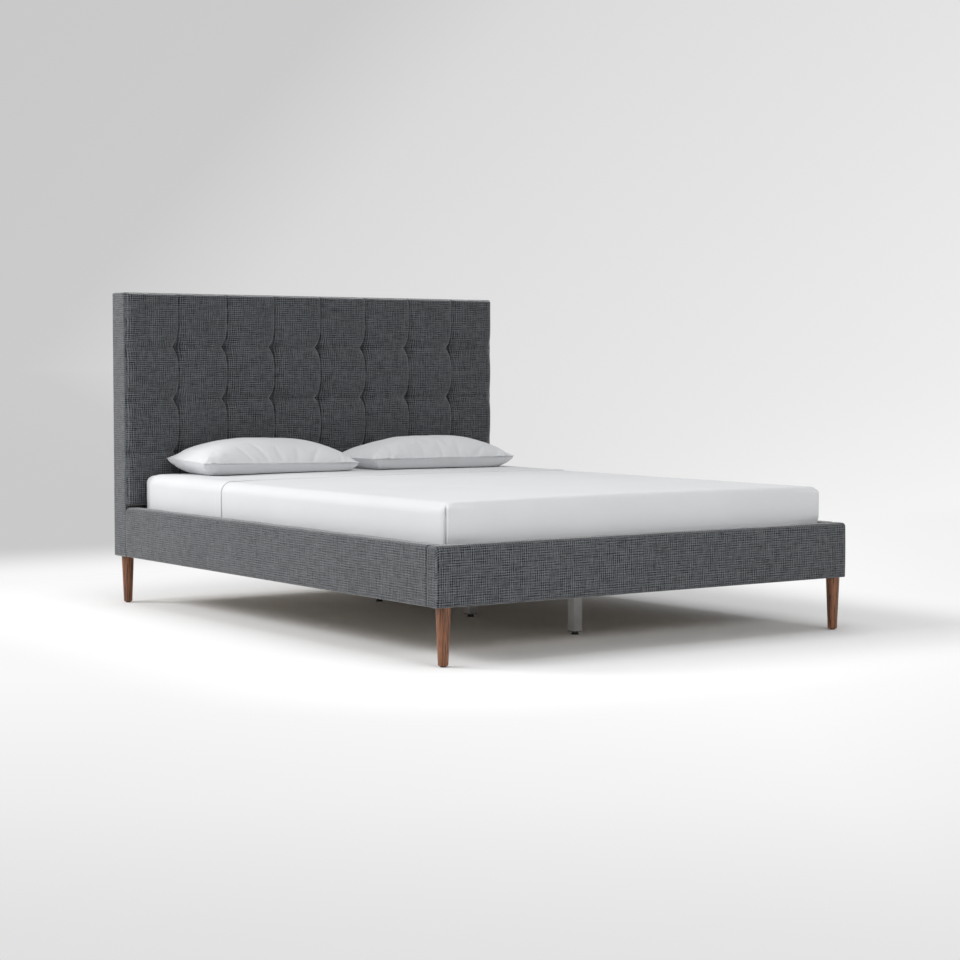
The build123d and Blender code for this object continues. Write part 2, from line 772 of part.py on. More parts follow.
with BuildPart() as flat_sheet:
    add(flat_form)
    add(fitted_form, mode=Mode.SUBTRACT)
    block(
        (-half_width, hem_y, slat_top),
        (half_width, head_front, mattress_top + sheet_cloth),
        mode=Mode.SUBTRACT,
    )
    block(
        (-tuck_x, mattress_foot + sheet_tuck, slat_top),
        (tuck_x, hem_y, slat_top + sheet_cloth),
        mode=Mode.SUBTRACT,
    )
finish(flat_sheet, "flat_sheet")

# Pillows: knife-edged, fullest in the middle, drawn in between their corners and pressed flat below
pillow_back = head_front - pillow_head_gap
pillow_y = pillow_back - pillow_depth / 2
pillow_seam_z = mattress_top + pillow_seam_height
pillow_left_x = -mattress_half_width + pillow_left_inset + pillow_length / 2
pillow_right_x = pillow_left_x + pillow_length + pillow_spacing
pillow_stations = [(-1.0, 0.0), (-0.72, 0.64), (0.0, 1.0), (0.72, 0.64), (1.0, 0.0)]
end_draw_radius = (pillow_depth**2 / 4 + pillow_end_draw**2) / (2 * pillow_end_draw)
for name, centre_x in (("left", pillow_left_x), ("right", pillow_right_x)):
    with BuildPart() as pillow:
        for station, fullness in pillow_stations:
            half_depth = pillow_depth / 2 - pillow_side_draw * (1 - station**2)
            rise = pillow_seam_gauge + fullness * (pillow_loft - pillow_seam_height - pillow_seam_gauge)
            drop = pillow_seam_gauge + fullness * (pillow_seam_height + pillow_press - pillow_seam_gauge)
            seam_point = (centre_x + station * pillow_length / 2, pillow_y, pillow_seam_z)
            with BuildSketch(Plane(seam_point, x_dir=(0, 1, 0), z_dir=(1, 0, 0))):
                with BuildLine():
                    ThreePointArc((-half_depth, 0), (0, rise), (half_depth, 0))
                    ThreePointArc((half_depth, 0), (0, -drop), (-half_depth, 0))
                make_face()
        loft()
        for side in (-1, 1):
            arc_x = centre_x + side * (pillow_length / 2 + end_draw_radius - pillow_end_draw)
            with Locations((arc_x, pillow_y, pillow_seam_z)):
                Cylinder(end_draw_radius, 2 * pillow_loft, mode=Mode.SUBTRACT)
        block(
            (-half_width, pillow_back - pillow_depth, slat_top),
            (half_width, head_front, mattress_top + rest_gap),
            mode=Mode.SUBTRACT,
        )
    finish(pillow, f"pillow_{name}")

for piece in pieces:
    export_step(piece, f"parts/{piece.label}.step")
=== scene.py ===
"""Looks of an upholstered bed: tufted and padded cloth, bed linen, wood and steel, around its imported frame.

Metres, in the frame's own axes: +X to the right seen from the foot, +Y to the headboard, +Z up.
"""
import json
import math

import bmesh
import bpy
import numpy as np
from bpy.props import FloatProperty, FloatVectorProperty, PointerProperty
from bpy.types import Operator, Panel, PropertyGroup
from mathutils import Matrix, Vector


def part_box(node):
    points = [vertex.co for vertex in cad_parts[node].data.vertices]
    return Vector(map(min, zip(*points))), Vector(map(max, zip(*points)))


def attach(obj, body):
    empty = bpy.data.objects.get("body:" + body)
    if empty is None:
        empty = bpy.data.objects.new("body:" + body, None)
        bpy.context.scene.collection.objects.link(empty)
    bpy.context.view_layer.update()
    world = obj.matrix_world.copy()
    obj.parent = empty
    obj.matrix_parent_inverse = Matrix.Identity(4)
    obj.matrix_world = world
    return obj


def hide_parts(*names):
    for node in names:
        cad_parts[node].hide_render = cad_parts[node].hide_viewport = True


bl_info = {
    "name": "Upholstered bed",
    "version": (1, 0, 0),
    "blender": (4, 5, 0),
    "location": "View3D > Sidebar > Bed",
    "description": "Dresses the packed frame of an upholstered bed in cloth, linen, wood and steel",
    "category": "Add Mesh",
}

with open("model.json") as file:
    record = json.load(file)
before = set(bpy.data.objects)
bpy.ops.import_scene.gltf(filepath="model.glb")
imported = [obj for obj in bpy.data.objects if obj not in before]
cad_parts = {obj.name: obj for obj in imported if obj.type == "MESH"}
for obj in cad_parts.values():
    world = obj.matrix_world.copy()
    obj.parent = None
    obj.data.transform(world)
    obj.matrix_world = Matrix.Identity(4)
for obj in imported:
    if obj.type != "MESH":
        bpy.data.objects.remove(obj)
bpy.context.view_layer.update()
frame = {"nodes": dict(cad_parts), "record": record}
NODES = frame["nodes"]
SLOT_OF = {part["node"]: part["material_slot"] for part in frame["record"]["subparts"]}

# The frame's boxes that the soft pieces fit
COVER_LOW, COVER_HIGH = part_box("headboard_cover")
BAND_LOW, BAND_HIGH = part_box("headboard_band")
APRON_LOW, APRON_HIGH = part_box("apron_cover")
BACK_LOW, BACK_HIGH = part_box("headboard_back_cloth")
FOOT_LOW, FOOT_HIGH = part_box("foot_rail_cover")
CORE_LOW, CORE_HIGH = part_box("mattress_core")
FITTED_LOW, FITTED_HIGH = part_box("fitted_sheet")
FLAT_LOW, FLAT_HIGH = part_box("flat_sheet")
STRAP_LOW, STRAP_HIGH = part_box("slat_straps")
SEAM_Y = BAND_LOW.y

TUFT_COLUMNS = 7
TUFT_ROWS = 3

# The upholstery's weave, in metres: its pale and dark lines, its yarns, and its single threads
WARP_LINES, WEFT_LINES = 0.0080, 0.0077
WARP_YARN, WEFT_YARN = 0.0043, 0.0041
THREAD_PITCH = 0.0018
CELLS_PER_YARN = 5.3
LINE_WANDER = {"Distortion": 1.5, "Detail": 2.0, "Detail Scale": 1.6}


def length(name, description, default):
    """A length that a user may change, in metres."""
    return FloatProperty(name=name, description=description, default=default, unit="LENGTH", precision=4)


def colour(name, description, default):
    """A colour that a user may change."""
    return FloatVectorProperty(
        name=name, description=description, default=default, subtype="COLOR", size=3, min=0.0, max=1.0
    )


def power(name, description, default):
    """A lamp's power that a user may change, in watts."""
    return FloatProperty(name=name, description=description, default=default, unit="POWER")


def angle(name, description, degrees):
    """An angle that a user may change, given here in degrees."""
    return FloatProperty(name=name, description=description, default=math.radians(degrees), subtype="ANGLE")


class BedForms(PropertyGroup):
    """Sizes of the padded and draped pieces."""

    crown: length("Cushion crown", "How far the headboard's cushions stand in front of their seam", 0.026)
    tuft_depth: length("Tuft depth", "How far the cloth is drawn in round a tuft", 0.025)
    tuft_pinch: length("Tuft pinch", "How much deeper it is drawn in at the tuft itself", 0.009)
    column_pleat: length("Column pleat", "Depth of the upright pleats", 0.023)
    row_pleat: length("Row pleat", "Depth of the level pleats", 0.0062)
    side_notch: length("Side notch", "How far the rows of tufts draw in the headboard's side edges", 0.020)
    pleat_sway: length("Pleat sway", "How far the upright pleats lean to the right between tufts", 0.0065)
    side_roll: length("Side roll", "Radius over which the front rolls to its seam at the sides", 0.032)
    top_roll: length("Top roll", "Radius over which the front rolls to its seam at the top", 0.009)
    rail_swell: length("Rail swell", "How far the padding swells the rails' outer faces", 0.0018)
    plan_corner: length("Mattress corner", "Radius of the mattress's corners seen from above", 0.045)
    side_edge: length("Side edge", "Radius of the mattress along its long top edges", 0.040)
    foot_edge: length("Foot edge", "Radius of the sheet along the top edge of the foot", 0.012)
    head_edge: length("Head edge", "Radius of the mattress along the top edge of the head", 0.014)
    turn_down: length("Turned-down sheet", "How far the turned-down sheet stands off the one below", 0.0022)
    corner_fold: length("Corner fold", "How far the folded corner of the flat sheet stands out", 0.0085)
    pillow_loft: length("Pillow loft", "Height of a pillow's crown above its seam", 0.0775)
    pillow_sink: length("Pillow underside", "Depth of a pillow's underside below its seam", 0.070)


class BedColours(PropertyGroup):
    """Colours of the cloths and woods."""

    dark_yarn: colour("Dark yarn", "The ground yarn of the upholstery", (0.0066, 0.0077, 0.0091))
    light_yarn: colour("Light yarn", "The slubs that show in the upholstery", (0.153, 0.160, 0.170))
    linen: colour("Linen", "Sheets and pillows", (0.668, 0.677, 0.690))
    leg_ground: colour("Leg wood", "Ground colour of the stained legs", (0.225, 0.091, 0.042))
    leg_grain: colour("Leg grain", "Dark lines in the stained legs", (0.050, 0.0195, 0.0095))
    pine: colour("Pine", "Slats, boards and beam", (0.52, 0.43, 0.33))


class BedStage(PropertyGroup):
    """Camera, light and floor."""

    camera_place: FloatVectorProperty(
        name="Camera place", description="Where the camera stands", default=(-4.3281, -6.3208, 0.894),
        subtype="XYZ", unit="LENGTH"
    )
    camera_turn: angle("Camera turn", "Turn to the right of the bed's length", 34.93)
    camera_tip: angle("Camera tip", "How far the camera looks down", 3.045)
    lens: FloatProperty(
        name="Lens", description="Focal length in millimetres", default=80.1, subtype="DISTANCE_CAMERA"
    )
    key_power: power("Key light", "Power of the lamp behind on the left", 265.0)
    side_power: power("Side light", "Power of the lamp on the left", 162.0)
    top_power: power("Top light", "Power of the wide lamp above", 114.0)
    fill_power: power("Fill light", "Power of the low lamp before the foot", 36.0)
    sky: FloatProperty(name="Room light", description="Strength of the even light around", default=0.38)


# Meshes from arrays


def grid_quads(rows, columns, closed):
    """Corner indices of every quad of a grid, with the columns joined round when it is closed."""
    row, column = np.meshgrid(np.arange(rows - 1), np.arange(columns - (not closed)), indexing="ij")
    beside = (column + 1) % columns
    corners = [row * columns + column, (row + 1) * columns + column, (row + 1) * columns + beside,
               row * columns + beside]
    return np.stack(corners, -1).reshape(-1, 4)


def grid_border(rows, columns):
    """Point indices once round the edge of a grid."""
    index = np.arange(rows * columns).reshape(rows, columns)
    return np.concatenate([index[:-1, 0], index[-1, :-1], index[:0:-1, -1], index[0, :0:-1]])


def build(name, points, faces, uv):
    """A smooth mesh object from points, faces and one texture place per face corner."""
    mesh = bpy.data.meshes.new(name)
    mesh.from_pydata(points.reshape(-1, 3).tolist(), [], faces)
    mesh.polygons.foreach_set("use_smooth", np.ones(len(mesh.polygons), bool))
    mesh.uv_layers.new(name="cloth").data.foreach_set("uv", np.asarray(uv, np.float32).ravel())
    mesh.update()
    piece = bpy.data.objects.new(name, mesh)
    bpy.context.scene.collection.objects.link(piece)
    return piece


def sheet_piece(name, points, uv, flip=False):
    """A single open sheet from a grid of points; uv has the same grid."""
    quads = grid_quads(*points.shape[:2], False)
    if flip:
        quads = quads[:, ::-1]
    return build(name, points, quads.tolist(), uv.reshape(-1, 2)[quads])


def tube_piece(name, rings, along, around, cap_uv, flip=False):
    """A closed tube from rings of points, with a flat cap on each end.

    along is each ring's place on the tube, around the distance round a ring with its closing point, and
    cap_uv the texture places of the two end rings. flip is for rings that run clockwise seen along the tube.
    """
    rows, columns = rings.shape[:2]
    quads = grid_quads(rows, columns, True)
    row, column = np.meshgrid(np.arange(rows - 1), np.arange(columns), indexing="ij")
    steps = [(row, column), (row + 1, column), (row + 1, column + 1), (row, column + 1)]
    uv = np.stack([np.stack([along[r], around[c]], -1) for r, c in steps], 2).reshape(-1, 4, 2)
    first = np.arange(columns)
    caps = [first, (rows - 1) * columns + first[::-1]]
    cap_places = [cap_uv[0], cap_uv[1][::-1]]
    if flip:
        quads, uv = quads[:, ::-1], uv[:, ::-1]
        caps = [cap[::-1] for cap in caps]
        cap_places = [places[::-1] for places in cap_places]
    corner_uv = np.concatenate([uv.reshape(-1, 2), *cap_places])
    piece = build(name, rings, quads.tolist() + [cap.tolist() for cap in caps], corner_uv)
    for cap in piece.data.polygons[-2:]:
        cap.use_smooth = False
    return piece


def quarter_round(distance, radius):
    """Height of a quarter circle: 0 at its edge, rising to 1 at a radius from it and beyond."""
    share = np.clip(distance / radius, 0.0, 1.0)
    return np.sqrt(1.0 - (1.0 - share) ** 2)


def ease(value, low, high):
    """A smooth step from 0 at low to 1 at high."""
    share = np.clip((value - low) / (high - low), 0.0, 1.0)
    return share * share * (3.0 - 2.0 * share)


def unevenness(points, size, seed, waves=9):
    """A smooth random rise and fall, within about -1 to 1: sine waves of about one size, each its own way."""
    draws = np.random.default_rng(seed)
    total = np.zeros(points.shape[:-1])
    for _ in range(waves):
        way = draws.normal(size=points.shape[-1])
        way *= 2.0 * math.pi / (np.linalg.norm(way) * size * draws.uniform(0.6, 1.7))
        total += np.sin(points @ way + draws.uniform(0.0, 2.0 * math.pi))
    return total / math.sqrt(2.0 * waves)


def rounded_ring(low, high, radii, steps, spans):
    """A closed ring round a rectangle, counter-clockwise from the low corner.

    radii are those of the corners in that order, steps the points on a corner's arc, and spans the points
    on the two kinds of side.
    """
    centres = [(low[0] + radii[0], low[1] + radii[0]), (high[0] - radii[1], low[1] + radii[1]),
               (high[0] - radii[2], high[1] - radii[2]), (low[0] + radii[3], high[1] - radii[3])]
    arcs = []
    for index, (centre, radius) in enumerate(zip(centres, radii)):
        turn = np.linspace(math.pi + index * math.pi / 2, math.pi * 1.5 + index * math.pi / 2, steps)
        arcs.append(np.stack([centre[0] + radius * np.cos(turn), centre[1] + radius * np.sin(turn)], -1))
    pieces = []
    for index, arc in enumerate(arcs):
        share = np.linspace(0.0, 1.0, spans[index % 2] + 2)[1:-1, None]
        pieces += [arc, arc[-1] * (1.0 - share) + arcs[(index + 1) % 4][0] * share]
    return np.concatenate(pieces)


def run_length(points):
    """The distance along a line at each of its points: the running sum of its steps."""
    return np.concatenate([[0.0], np.cumsum(np.linalg.norm(np.diff(points, axis=0), axis=1))])


def round_length(ring):
    """The distance round a closed ring at each of its points, with the closing point at the end."""
    return run_length(np.concatenate([ring, ring[:1]]))


def thicken(piece, depth):
    """Give a sheet its thickness, on its inner side."""
    solid = piece.modifiers.new("thickness", "SOLIDIFY")
    solid.thickness = depth
    solid.offset = -1.0


def dress(piece, material, slot, body, *stands_for):
    """Give a piece its finish and its body, and hide the frame's nodes that it stands for."""
    piece.data.materials.append(material)
    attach(piece, body)
    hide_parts(*stands_for)


# Finishes


def finish(name, **sockets):
    """A new material, its node tree and its shader, with the shader's sockets set."""
    material = bpy.data.materials.new(name)
    material.use_nodes = True
    shader = material.node_tree.nodes["Principled BSDF"]
    for socket, value in sockets.items():
        shader.inputs[socket.replace("_", " ")].default_value = value
    return material, material.node_tree, shader


def wire(tree, kind, inputs, output=0, **settings):
    """Add a node whose inputs are values or other nodes' outputs, and return one of its outputs."""
    node = tree.nodes.new("ShaderNode" + kind)
    for name, value in settings.items():
        setattr(node, name, value)
    for name, value in inputs.items():
        if isinstance(value, bpy.types.NodeSocket):
            tree.links.new(value, node.inputs[name])
        else:
            node.inputs[name].default_value = value
    return node.outputs[output]


def stretched_noise(tree, place, scale, detail=2.0, roughness=0.5):
    """Noise whose grain is drawn out: scale is its counts per metre along each axis."""
    at = wire(tree, "Mapping", {"Vector": place, "Scale": scale})
    return wire(tree, "TexNoise", {"Vector": at, "Scale": 1.0, "Detail": detail, "Roughness": roughness})


def ramp(tree, factor, stops):
    """Colours or greys at places from 0 to 1."""
    node = tree.nodes.new("ShaderNodeValToRGB")
    marks = node.color_ramp.elements
    marks[0].position = stops[0][0]
    marks[1].position = stops[-1][0]
    for place, _ in stops[1:-1]:
        marks.new(place)
    for mark, (_, shade) in zip(marks, stops):
        rgb = shade if hasattr(shade, "__len__") else (shade,) * 3
        mark.color = (*rgb, 1.0)
    tree.links.new(factor, node.inputs[0])
    return node.outputs[0]


def math_node(tree, operation, first, second=0.0, third=0.0):
    """One sum of two or three values or outputs."""
    return wire(tree, "Math", {0: first, 1: second, 2: third}, operation=operation)


def tinted(tree, shade, factor):
    """A colour darkened or lightened by a grey factor."""
    return wire(tree, "VectorMath", {0: shade, 1: factor}, operation="MULTIPLY")


def raise_surface(tree, shader, height, strength, distance):
    """Bump a shader by a height."""
    bump = wire(tree, "Bump", {"Height": height, "Strength": strength, "Distance": distance})
    tree.links.new(bump, shader.inputs["Normal"])


def along_way(tree, place, way):
    """How far a place lies along a way: their dot product."""
    return wire(tree, "VectorMath", {0: place, 1: way}, output=1, operation="DOT_PRODUCT")


def eased(tree, value, low, high):
    """A smooth step from 0 at low to 1 at high."""
    return wire(tree, "MapRange", {0: value, 1: low, 2: high}, interpolation_type="SMOOTHSTEP")


def thread_waves(tree, place, pitch, way, wander=None):
    """Waves across one way of a cloth, one to a pitch; wander holds the sockets that make them stray.

    A wave texture turns by 20 times its scale in a metre, so a pitch takes a scale of 2 pi / (20 pitch).
    """
    sockets = {"Vector": place, "Scale": 2.0 * math.pi / (20.0 * pitch), **(wander or {})}
    return wire(tree, "TexWave", sockets, output=1, bands_direction=way)


def crossed_threads(tree, place, pitch):
    """A plain weave's height: the product of two crossed waves at the pitch of the threads."""
    warp, weft = (thread_waves(tree, place, pitch, way) for way in "XY")
    return math_node(tree, "MULTIPLY", warp, weft)


def yarns(tree, place, pitch, across, along):
    """Yarns side by side: each has its own tone, which changes slowly along it.

    Places are snapped to the pitch across the yarns, and the noise read there moves on by several of its
    cells from one yarn to the next.
    """
    step = [1e-4, 1e-4, 1.0]
    step[across] = pitch
    yarn = wire(tree, "VectorMath", {0: place, 1: step}, operation="SNAP")
    scale = [along, along, 1.0]
    scale[across] = CELLS_PER_YARN / pitch
    return stretched_noise(tree, yarn, scale, 1.0)


def thread_lines(tree, place, pitch, way, patches):
    """Lines along the threads, dark and pale by turns, that come and go from patch to patch."""
    lines = thread_waves(tree, place, pitch, way, LINE_WANDER)
    strength = ramp(tree, stretched_noise(tree, place, patches, 1.0), [(0.40, 0.12), (0.60, 1.0)])
    return math_node(tree, "MULTIPLY", math_node(tree, "SUBTRACT", lines, 0.5), strength)


def upholstery_cloth(colours):
    """Slubby plain weave: fine crossed lines of thread over yarns that each have their own tone."""
    material, tree, shader = finish(
        "upholstery_cloth", Roughness=0.95, Sheen_Weight=0.75, Sheen_Roughness=0.35, Specular_IOR_Level=0.15
    )
    place = wire(tree, "TexCoord", {}, output="UV")
    narrow, long, slub = 50.0, 28.0, 24.0
    line_share, slub_share, ground = 0.76, 0.67, -0.175
    warp = thread_lines(tree, place, WARP_LINES, "X", (narrow, long, 1.0))
    weft = thread_lines(tree, place, WEFT_LINES, "Y", (long, narrow, 1.0))
    lines = math_node(tree, "MULTIPLY_ADD", math_node(tree, "ADD", warp, weft), line_share, ground)
    tones = (yarns(tree, place, WARP_YARN, 0, slub), yarns(tree, place, WEFT_YARN, 1, slub))
    yarn = math_node(tree, "MULTIPLY_ADD", math_node(tree, "ADD", *tones), slub_share, lines)
    shade = ramp(tree, yarn, [(0.0, colours.dark_yarn), (1.0, colours.light_yarn)])
    tree.links.new(shade, shader.inputs["Base Color"])
    threads = crossed_threads(tree, place, THREAD_PITCH)
    raise_surface(tree, shader, math_node(tree, "ADD", threads, yarn), 0.40, 0.0006)
    return material


def linen_cloth(colours):
    """White percale: a faint thread in the surface and soft creases."""
    material, tree, shader = finish(
        "linen_cloth", Roughness=0.86, Sheen_Weight=0.08, Sheen_Roughness=0.4, Specular_IOR_Level=0.2
    )
    place = wire(tree, "TexCoord", {}, output="Object")
    tone = stretched_noise(tree, place, (5.0, 5.0, 5.0), 3.0)
    pale = tuple(min(1.0, channel * 1.012) for channel in colours.linen)
    shaded = tuple(channel * 0.982 for channel in colours.linen)
    shade = ramp(tree, tone, [(0.3, shaded), (0.7, pale)])
    tree.links.new(shade, shader.inputs["Base Color"])
    thread = stretched_noise(tree, place, (900.0, 900.0, 900.0), 1.0)
    crease = stretched_noise(tree, place, (9.0, 16.0, 9.0), 4.0, 0.55)
    height = math_node(tree, "ADD", math_node(tree, "MULTIPLY", thread, 0.06), crease)
    raise_surface(tree, shader, height, 0.10, 0.004)
    return material


def plain_cloth(name, dark, light, pitch, rough=0.93):
    """A tight plain weave of two near tones, following the piece's own thread lines."""
    material, tree, shader = finish(name, Roughness=rough, Specular_IOR_Level=0.15)
    place = wire(tree, "TexCoord", {}, output="UV")
    tone = stretched_noise(tree, place, (60.0, 60.0, 1.0), 4.0, 0.6)
    threads = crossed_threads(tree, place, pitch)
    shade = ramp(tree, math_node(tree, "MULTIPLY", math_node(tree, "ADD", tone, threads), 0.6),
                 [(0.2, dark), (0.8, light)])
    tree.links.new(shade, shader.inputs["Base Color"])
    raise_surface(tree, shader, threads, 0.4, pitch * 0.3)
    return material


def wood(name, ground, grain, along, lines, rough):
    """Wood sawn along one axis: drawn-out noise for its rings, finer noise for its pores."""
    material, tree, shader = finish(name, Roughness=rough, Specular_IOR_Level=0.4)
    place = wire(tree, "TexCoord", {}, output="Object")
    across, down = lines, lines * 0.035
    ring_scale = tuple(down if axis == along else across for axis in range(3))
    pore_scale = tuple(across * 0.4 if axis == along else across * 12.0 for axis in range(3))
    rings = stretched_noise(tree, place, ring_scale, 3.0, 0.62)
    bands = math_node(tree, "FRACT", math_node(tree, "MULTIPLY", rings, 5.0))
    pores = stretched_noise(tree, place, pore_scale, 2.0)
    middle = tuple(0.62 * a + 0.38 * b for a, b in zip(ground, grain))
    light = tuple(min(1.0, channel * 1.18) for channel in ground)
    shade = ramp(tree, bands, [(0.0, grain), (0.28, middle), (0.48, ground),
                               (0.72, light), (0.88, ground), (1.0, grain)])
    flecks = ramp(tree, pores, [(0.32, 0.72), (0.55, 1.0)])
    tree.links.new(tinted(tree, shade, flecks), shader.inputs["Base Color"])
    gloss = ramp(tree, bands, [(0.0, min(1.0, rough + 0.12)), (0.5, rough)])
    tree.links.new(gloss, shader.inputs["Roughness"])
    raise_surface(tree, shader, math_node(tree, "ADD", bands, pores), 0.12, 0.0004)
    return material


def coated(name, dark, light, rough, grain, depth, metallic=0.0):
    """Metal or moulded plastic: a fine skin and slow changes of tone and gloss."""
    material, tree, shader = finish(name, Metallic=metallic)
    place = wire(tree, "TexCoord", {}, output="Object")
    tone = stretched_noise(tree, place, (26.0, 26.0, 26.0), 4.0, 0.6)
    skin = stretched_noise(tree, place, (grain,) * 3, 2.0)
    tree.links.new(ramp(tree, tone, [(0.3, dark), (0.7, light)]), shader.inputs["Base Color"])
    gloss = ramp(tree, tone, [(0.3, rough), (0.7, min(1.0, rough + 0.12))])
    tree.links.new(gloss, shader.inputs["Roughness"])
    raise_surface(tree, shader, skin, 0.25, depth)
    return material


def made(name, maker, *values):
    """The finish of that name, made the first time it is asked for."""
    return bpy.data.materials.get(name) or maker(*values)


def upholstery(context):
    """The finish of the headboard and the rails."""
    return made("upholstery_cloth", upholstery_cloth, context.scene.bed_colours)


def linen(context):
    """The finish of sheets and pillows."""
    return made("linen_cloth", linen_cloth, context.scene.bed_colours)


def webbing():
    """The finish of the slat straps."""
    name = "webbing_cloth"
    return made(name, plain_cloth, name, (0.035, 0.035, 0.037), (0.10, 0.10, 0.105), 0.0022)


# Stage


def backdrop_painted_light(tree, way):
    """Painted light on the room behind, which glows for the camera: greyer to the left, paler to the right,
    by the way from the bed.
    """
    # Painted light: the backdrop's tone falls from pale on the right to grey on the left, as if lit unevenly
    level = along_way(tree, way, (1.0, 0.0, -0.75))
    return ramp(tree, level, [(0.28, 0.585), (0.39, 0.60), (0.46, 0.70), (0.52, 0.735), (0.62, 0.78),
                              (0.70, 0.823), (0.77, 0.865), (0.90, 0.92)])


def seen_rays(tree):
    """1 where the camera sees a thing, straight or in a mirror or through glass, and 0 for other light."""
    rays = tree.nodes.new("ShaderNodeLightPath")
    direct = math_node(tree, "MAXIMUM", rays.outputs["Is Camera Ray"], rays.outputs["Is Glossy Ray"])
    return math_node(tree, "MAXIMUM", direct, rays.outputs["Is Transmission Ray"])


class BED_OT_stage(Operator):
    """Make the floor, the room light, the lamps and the camera"""

    bl_idname = "bed.stage"
    bl_label = "Stage"

    # Name, place, target and size of each lamp
    LAMPS = (
        ("key", (-5.4, 4.14, 4.36), (0.0, 0.0, 0.4), (2.5, 2.3)),
        ("side", (-6.5, 1.0, 4.2), (0.0, 0.0, 0.4), (2.5, 2.3)),
        ("top", (0.0, -0.5, 6.0), (0.0, -0.5, 0.0), (4.5, 4.5)),
        ("fill", (-0.2, -3.7, 1.45), (0.0, -0.6, 0.40), (2.8, 0.6)),
    )
    FLOOR_REACH = 320.0
    VIEW_REACH = 800.0
    BED_OUTLINE = (0.84, 1.10, 0.0)
    # The ways over which the painted falloff of light on the bare paper changes its tone
    FORWARDS, SIDEWAYS = (-0.5726, -0.8198, 0.0), (0.8198, -0.5726, 0.0)

    def execute(self, context):
        stage = context.scene.bed_stage
        self.make_room(context, stage)
        self.make_floor()
        for name, place, target, size in self.LAMPS:
            self.make_lamp(context, f"{name}_lamp", place, target, size, getattr(stage, f"{name}_power"))
        self.make_camera(context, stage)
        context.scene.view_settings.view_transform = "Standard"
        return {"FINISHED"}

    def make_camera(self, context, stage):
        """A camera at the photograph's viewing angle, tipped down a little and not rolled."""
        camera = bpy.data.cameras.new("camera")
        camera.lens = stage.lens
        camera.sensor_width = 36.0
        camera.clip_end = self.VIEW_REACH
        eye = bpy.data.objects.new("camera", camera)
        eye.location = stage.camera_place
        eye.rotation_euler = (math.pi / 2 - stage.camera_tip, 0.0, -stage.camera_turn)
        context.scene.collection.objects.link(eye)
        context.scene.camera = eye

    def make_room(self, context, stage):
        """Even light from all round, stronger from behind and above; the backdrop's painted light is seen
        instead of it.
        """
        world = bpy.data.worlds.new("room")
        world.use_nodes = True
        context.scene.world = world
        tree = world.node_tree
        way = wire(tree, "TexCoord", {}, output="Generated")
        back = wire(tree, "SeparateXYZ", {0: way}, output=1)
        above = wire(tree, "SeparateXYZ", {0: way}, output=2)
        level = wire(tree, "MapRange", {0: back, 1: -1.0, 2: 1.0, 3: stage.sky * 0.67, 4: stage.sky * 1.25})
        level = math_node(tree, "MULTIPLY", level, wire(tree, "MapRange", {0: above, 3: 0.75, 4: 1.3}))
        light = tree.nodes["Background"]
        light.inputs["Color"].default_value = (1.0, 1.0, 1.0, 1.0)
        tree.links.new(level, light.inputs["Strength"])
        seen = wire(tree, "Background", {"Color": backdrop_painted_light(tree, way), "Strength": 1.0})
        mixed = wire(tree, "MixShader", {0: seen_rays(tree), 1: light.outputs[0], 2: seen})
        tree.links.new(mixed, tree.nodes["World Output"].inputs["Surface"])

    def make_floor(self):
        """A wide pale floor: lit paper with the shadow by the bed, and off it paper that glows with painted
        light, greyer away from the bed, with the backdrop's painted light behind.
        """
        side = np.linspace(-self.FLOOR_REACH, self.FLOOR_REACH, 9)
        x, y = np.meshgrid(side, side, indexing="ij")
        points = np.stack([x, y, np.zeros_like(x)], -1)
        floor = sheet_piece("floor", points, points[..., :2])
        material, tree, shader = finish("floor_paper", Roughness=1.0, Specular_IOR_Level=0.0)
        place = wire(tree, "TexCoord", {}, output="Object")
        speck = stretched_noise(tree, place, (3.0, 3.0, 3.0), 3.0)
        tree.links.new(ramp(tree, speck, [(0.3, 0.888), (0.7, 0.893)]), shader.inputs["Base Color"])
        # Painted light: off the bed the paper glows for the camera, greyer forwards and to both sides as if
        # the light fell off
        painted_paper_glow = wire(tree, "Emission", {"Color": self.paper_painted_falloff(tree, place), "Strength": 1.0})
        way = wire(tree, "VectorMath", {0: place}, operation="NORMALIZE")
        # Painted light: behind the floor the backdrop glows for the camera
        backdrop = wire(tree, "Emission", {"Color": backdrop_painted_light(tree, way), "Strength": 1.0})
        behind = wire(tree, "SeparateXYZ", {0: place}, output=1)
        seen = wire(tree, "MixShader", {0: eased(tree, behind, 2.15, 3.7), 1: painted_paper_glow, 2: backdrop})
        shown = math_node(tree, "MULTIPLY", self.off_bed(tree, place), seen_rays(tree))
        mixed = wire(tree, "MixShader", {0: shown, 1: shader.outputs[0], 2: seen})
        tree.links.new(mixed, tree.nodes["Material Output"].inputs["Surface"])
        floor.data.materials.append(material)

    def paper_painted_falloff(self, tree, place):
        """Painted light on the bare paper, which glows for the camera: greyer forwards and to both sides, by
        how far a place lies along each way, as painted falloff of light.
        """
        forwards = math_node(tree, "DIVIDE", along_way(tree, place, self.FORWARDS), 8.0)
        sideways = wire(tree, "MapRange", {0: along_way(tree, place, self.SIDEWAYS), 1: -1.0, 2: 4.0})
        nearer = ramp(tree, forwards, [(0.20, 1.0), (0.25, 0.979), (0.41, 0.902), (0.54, 0.794),
                                       (0.80, 0.666)])
        aside = ramp(tree, sideways, [(0.03, 0.946), (0.21, 0.975), (0.37, 1.0), (0.46, 0.962),
                                      (0.64, 0.906), (1.0, 0.86)])
        return tinted(tree, nearer, aside)

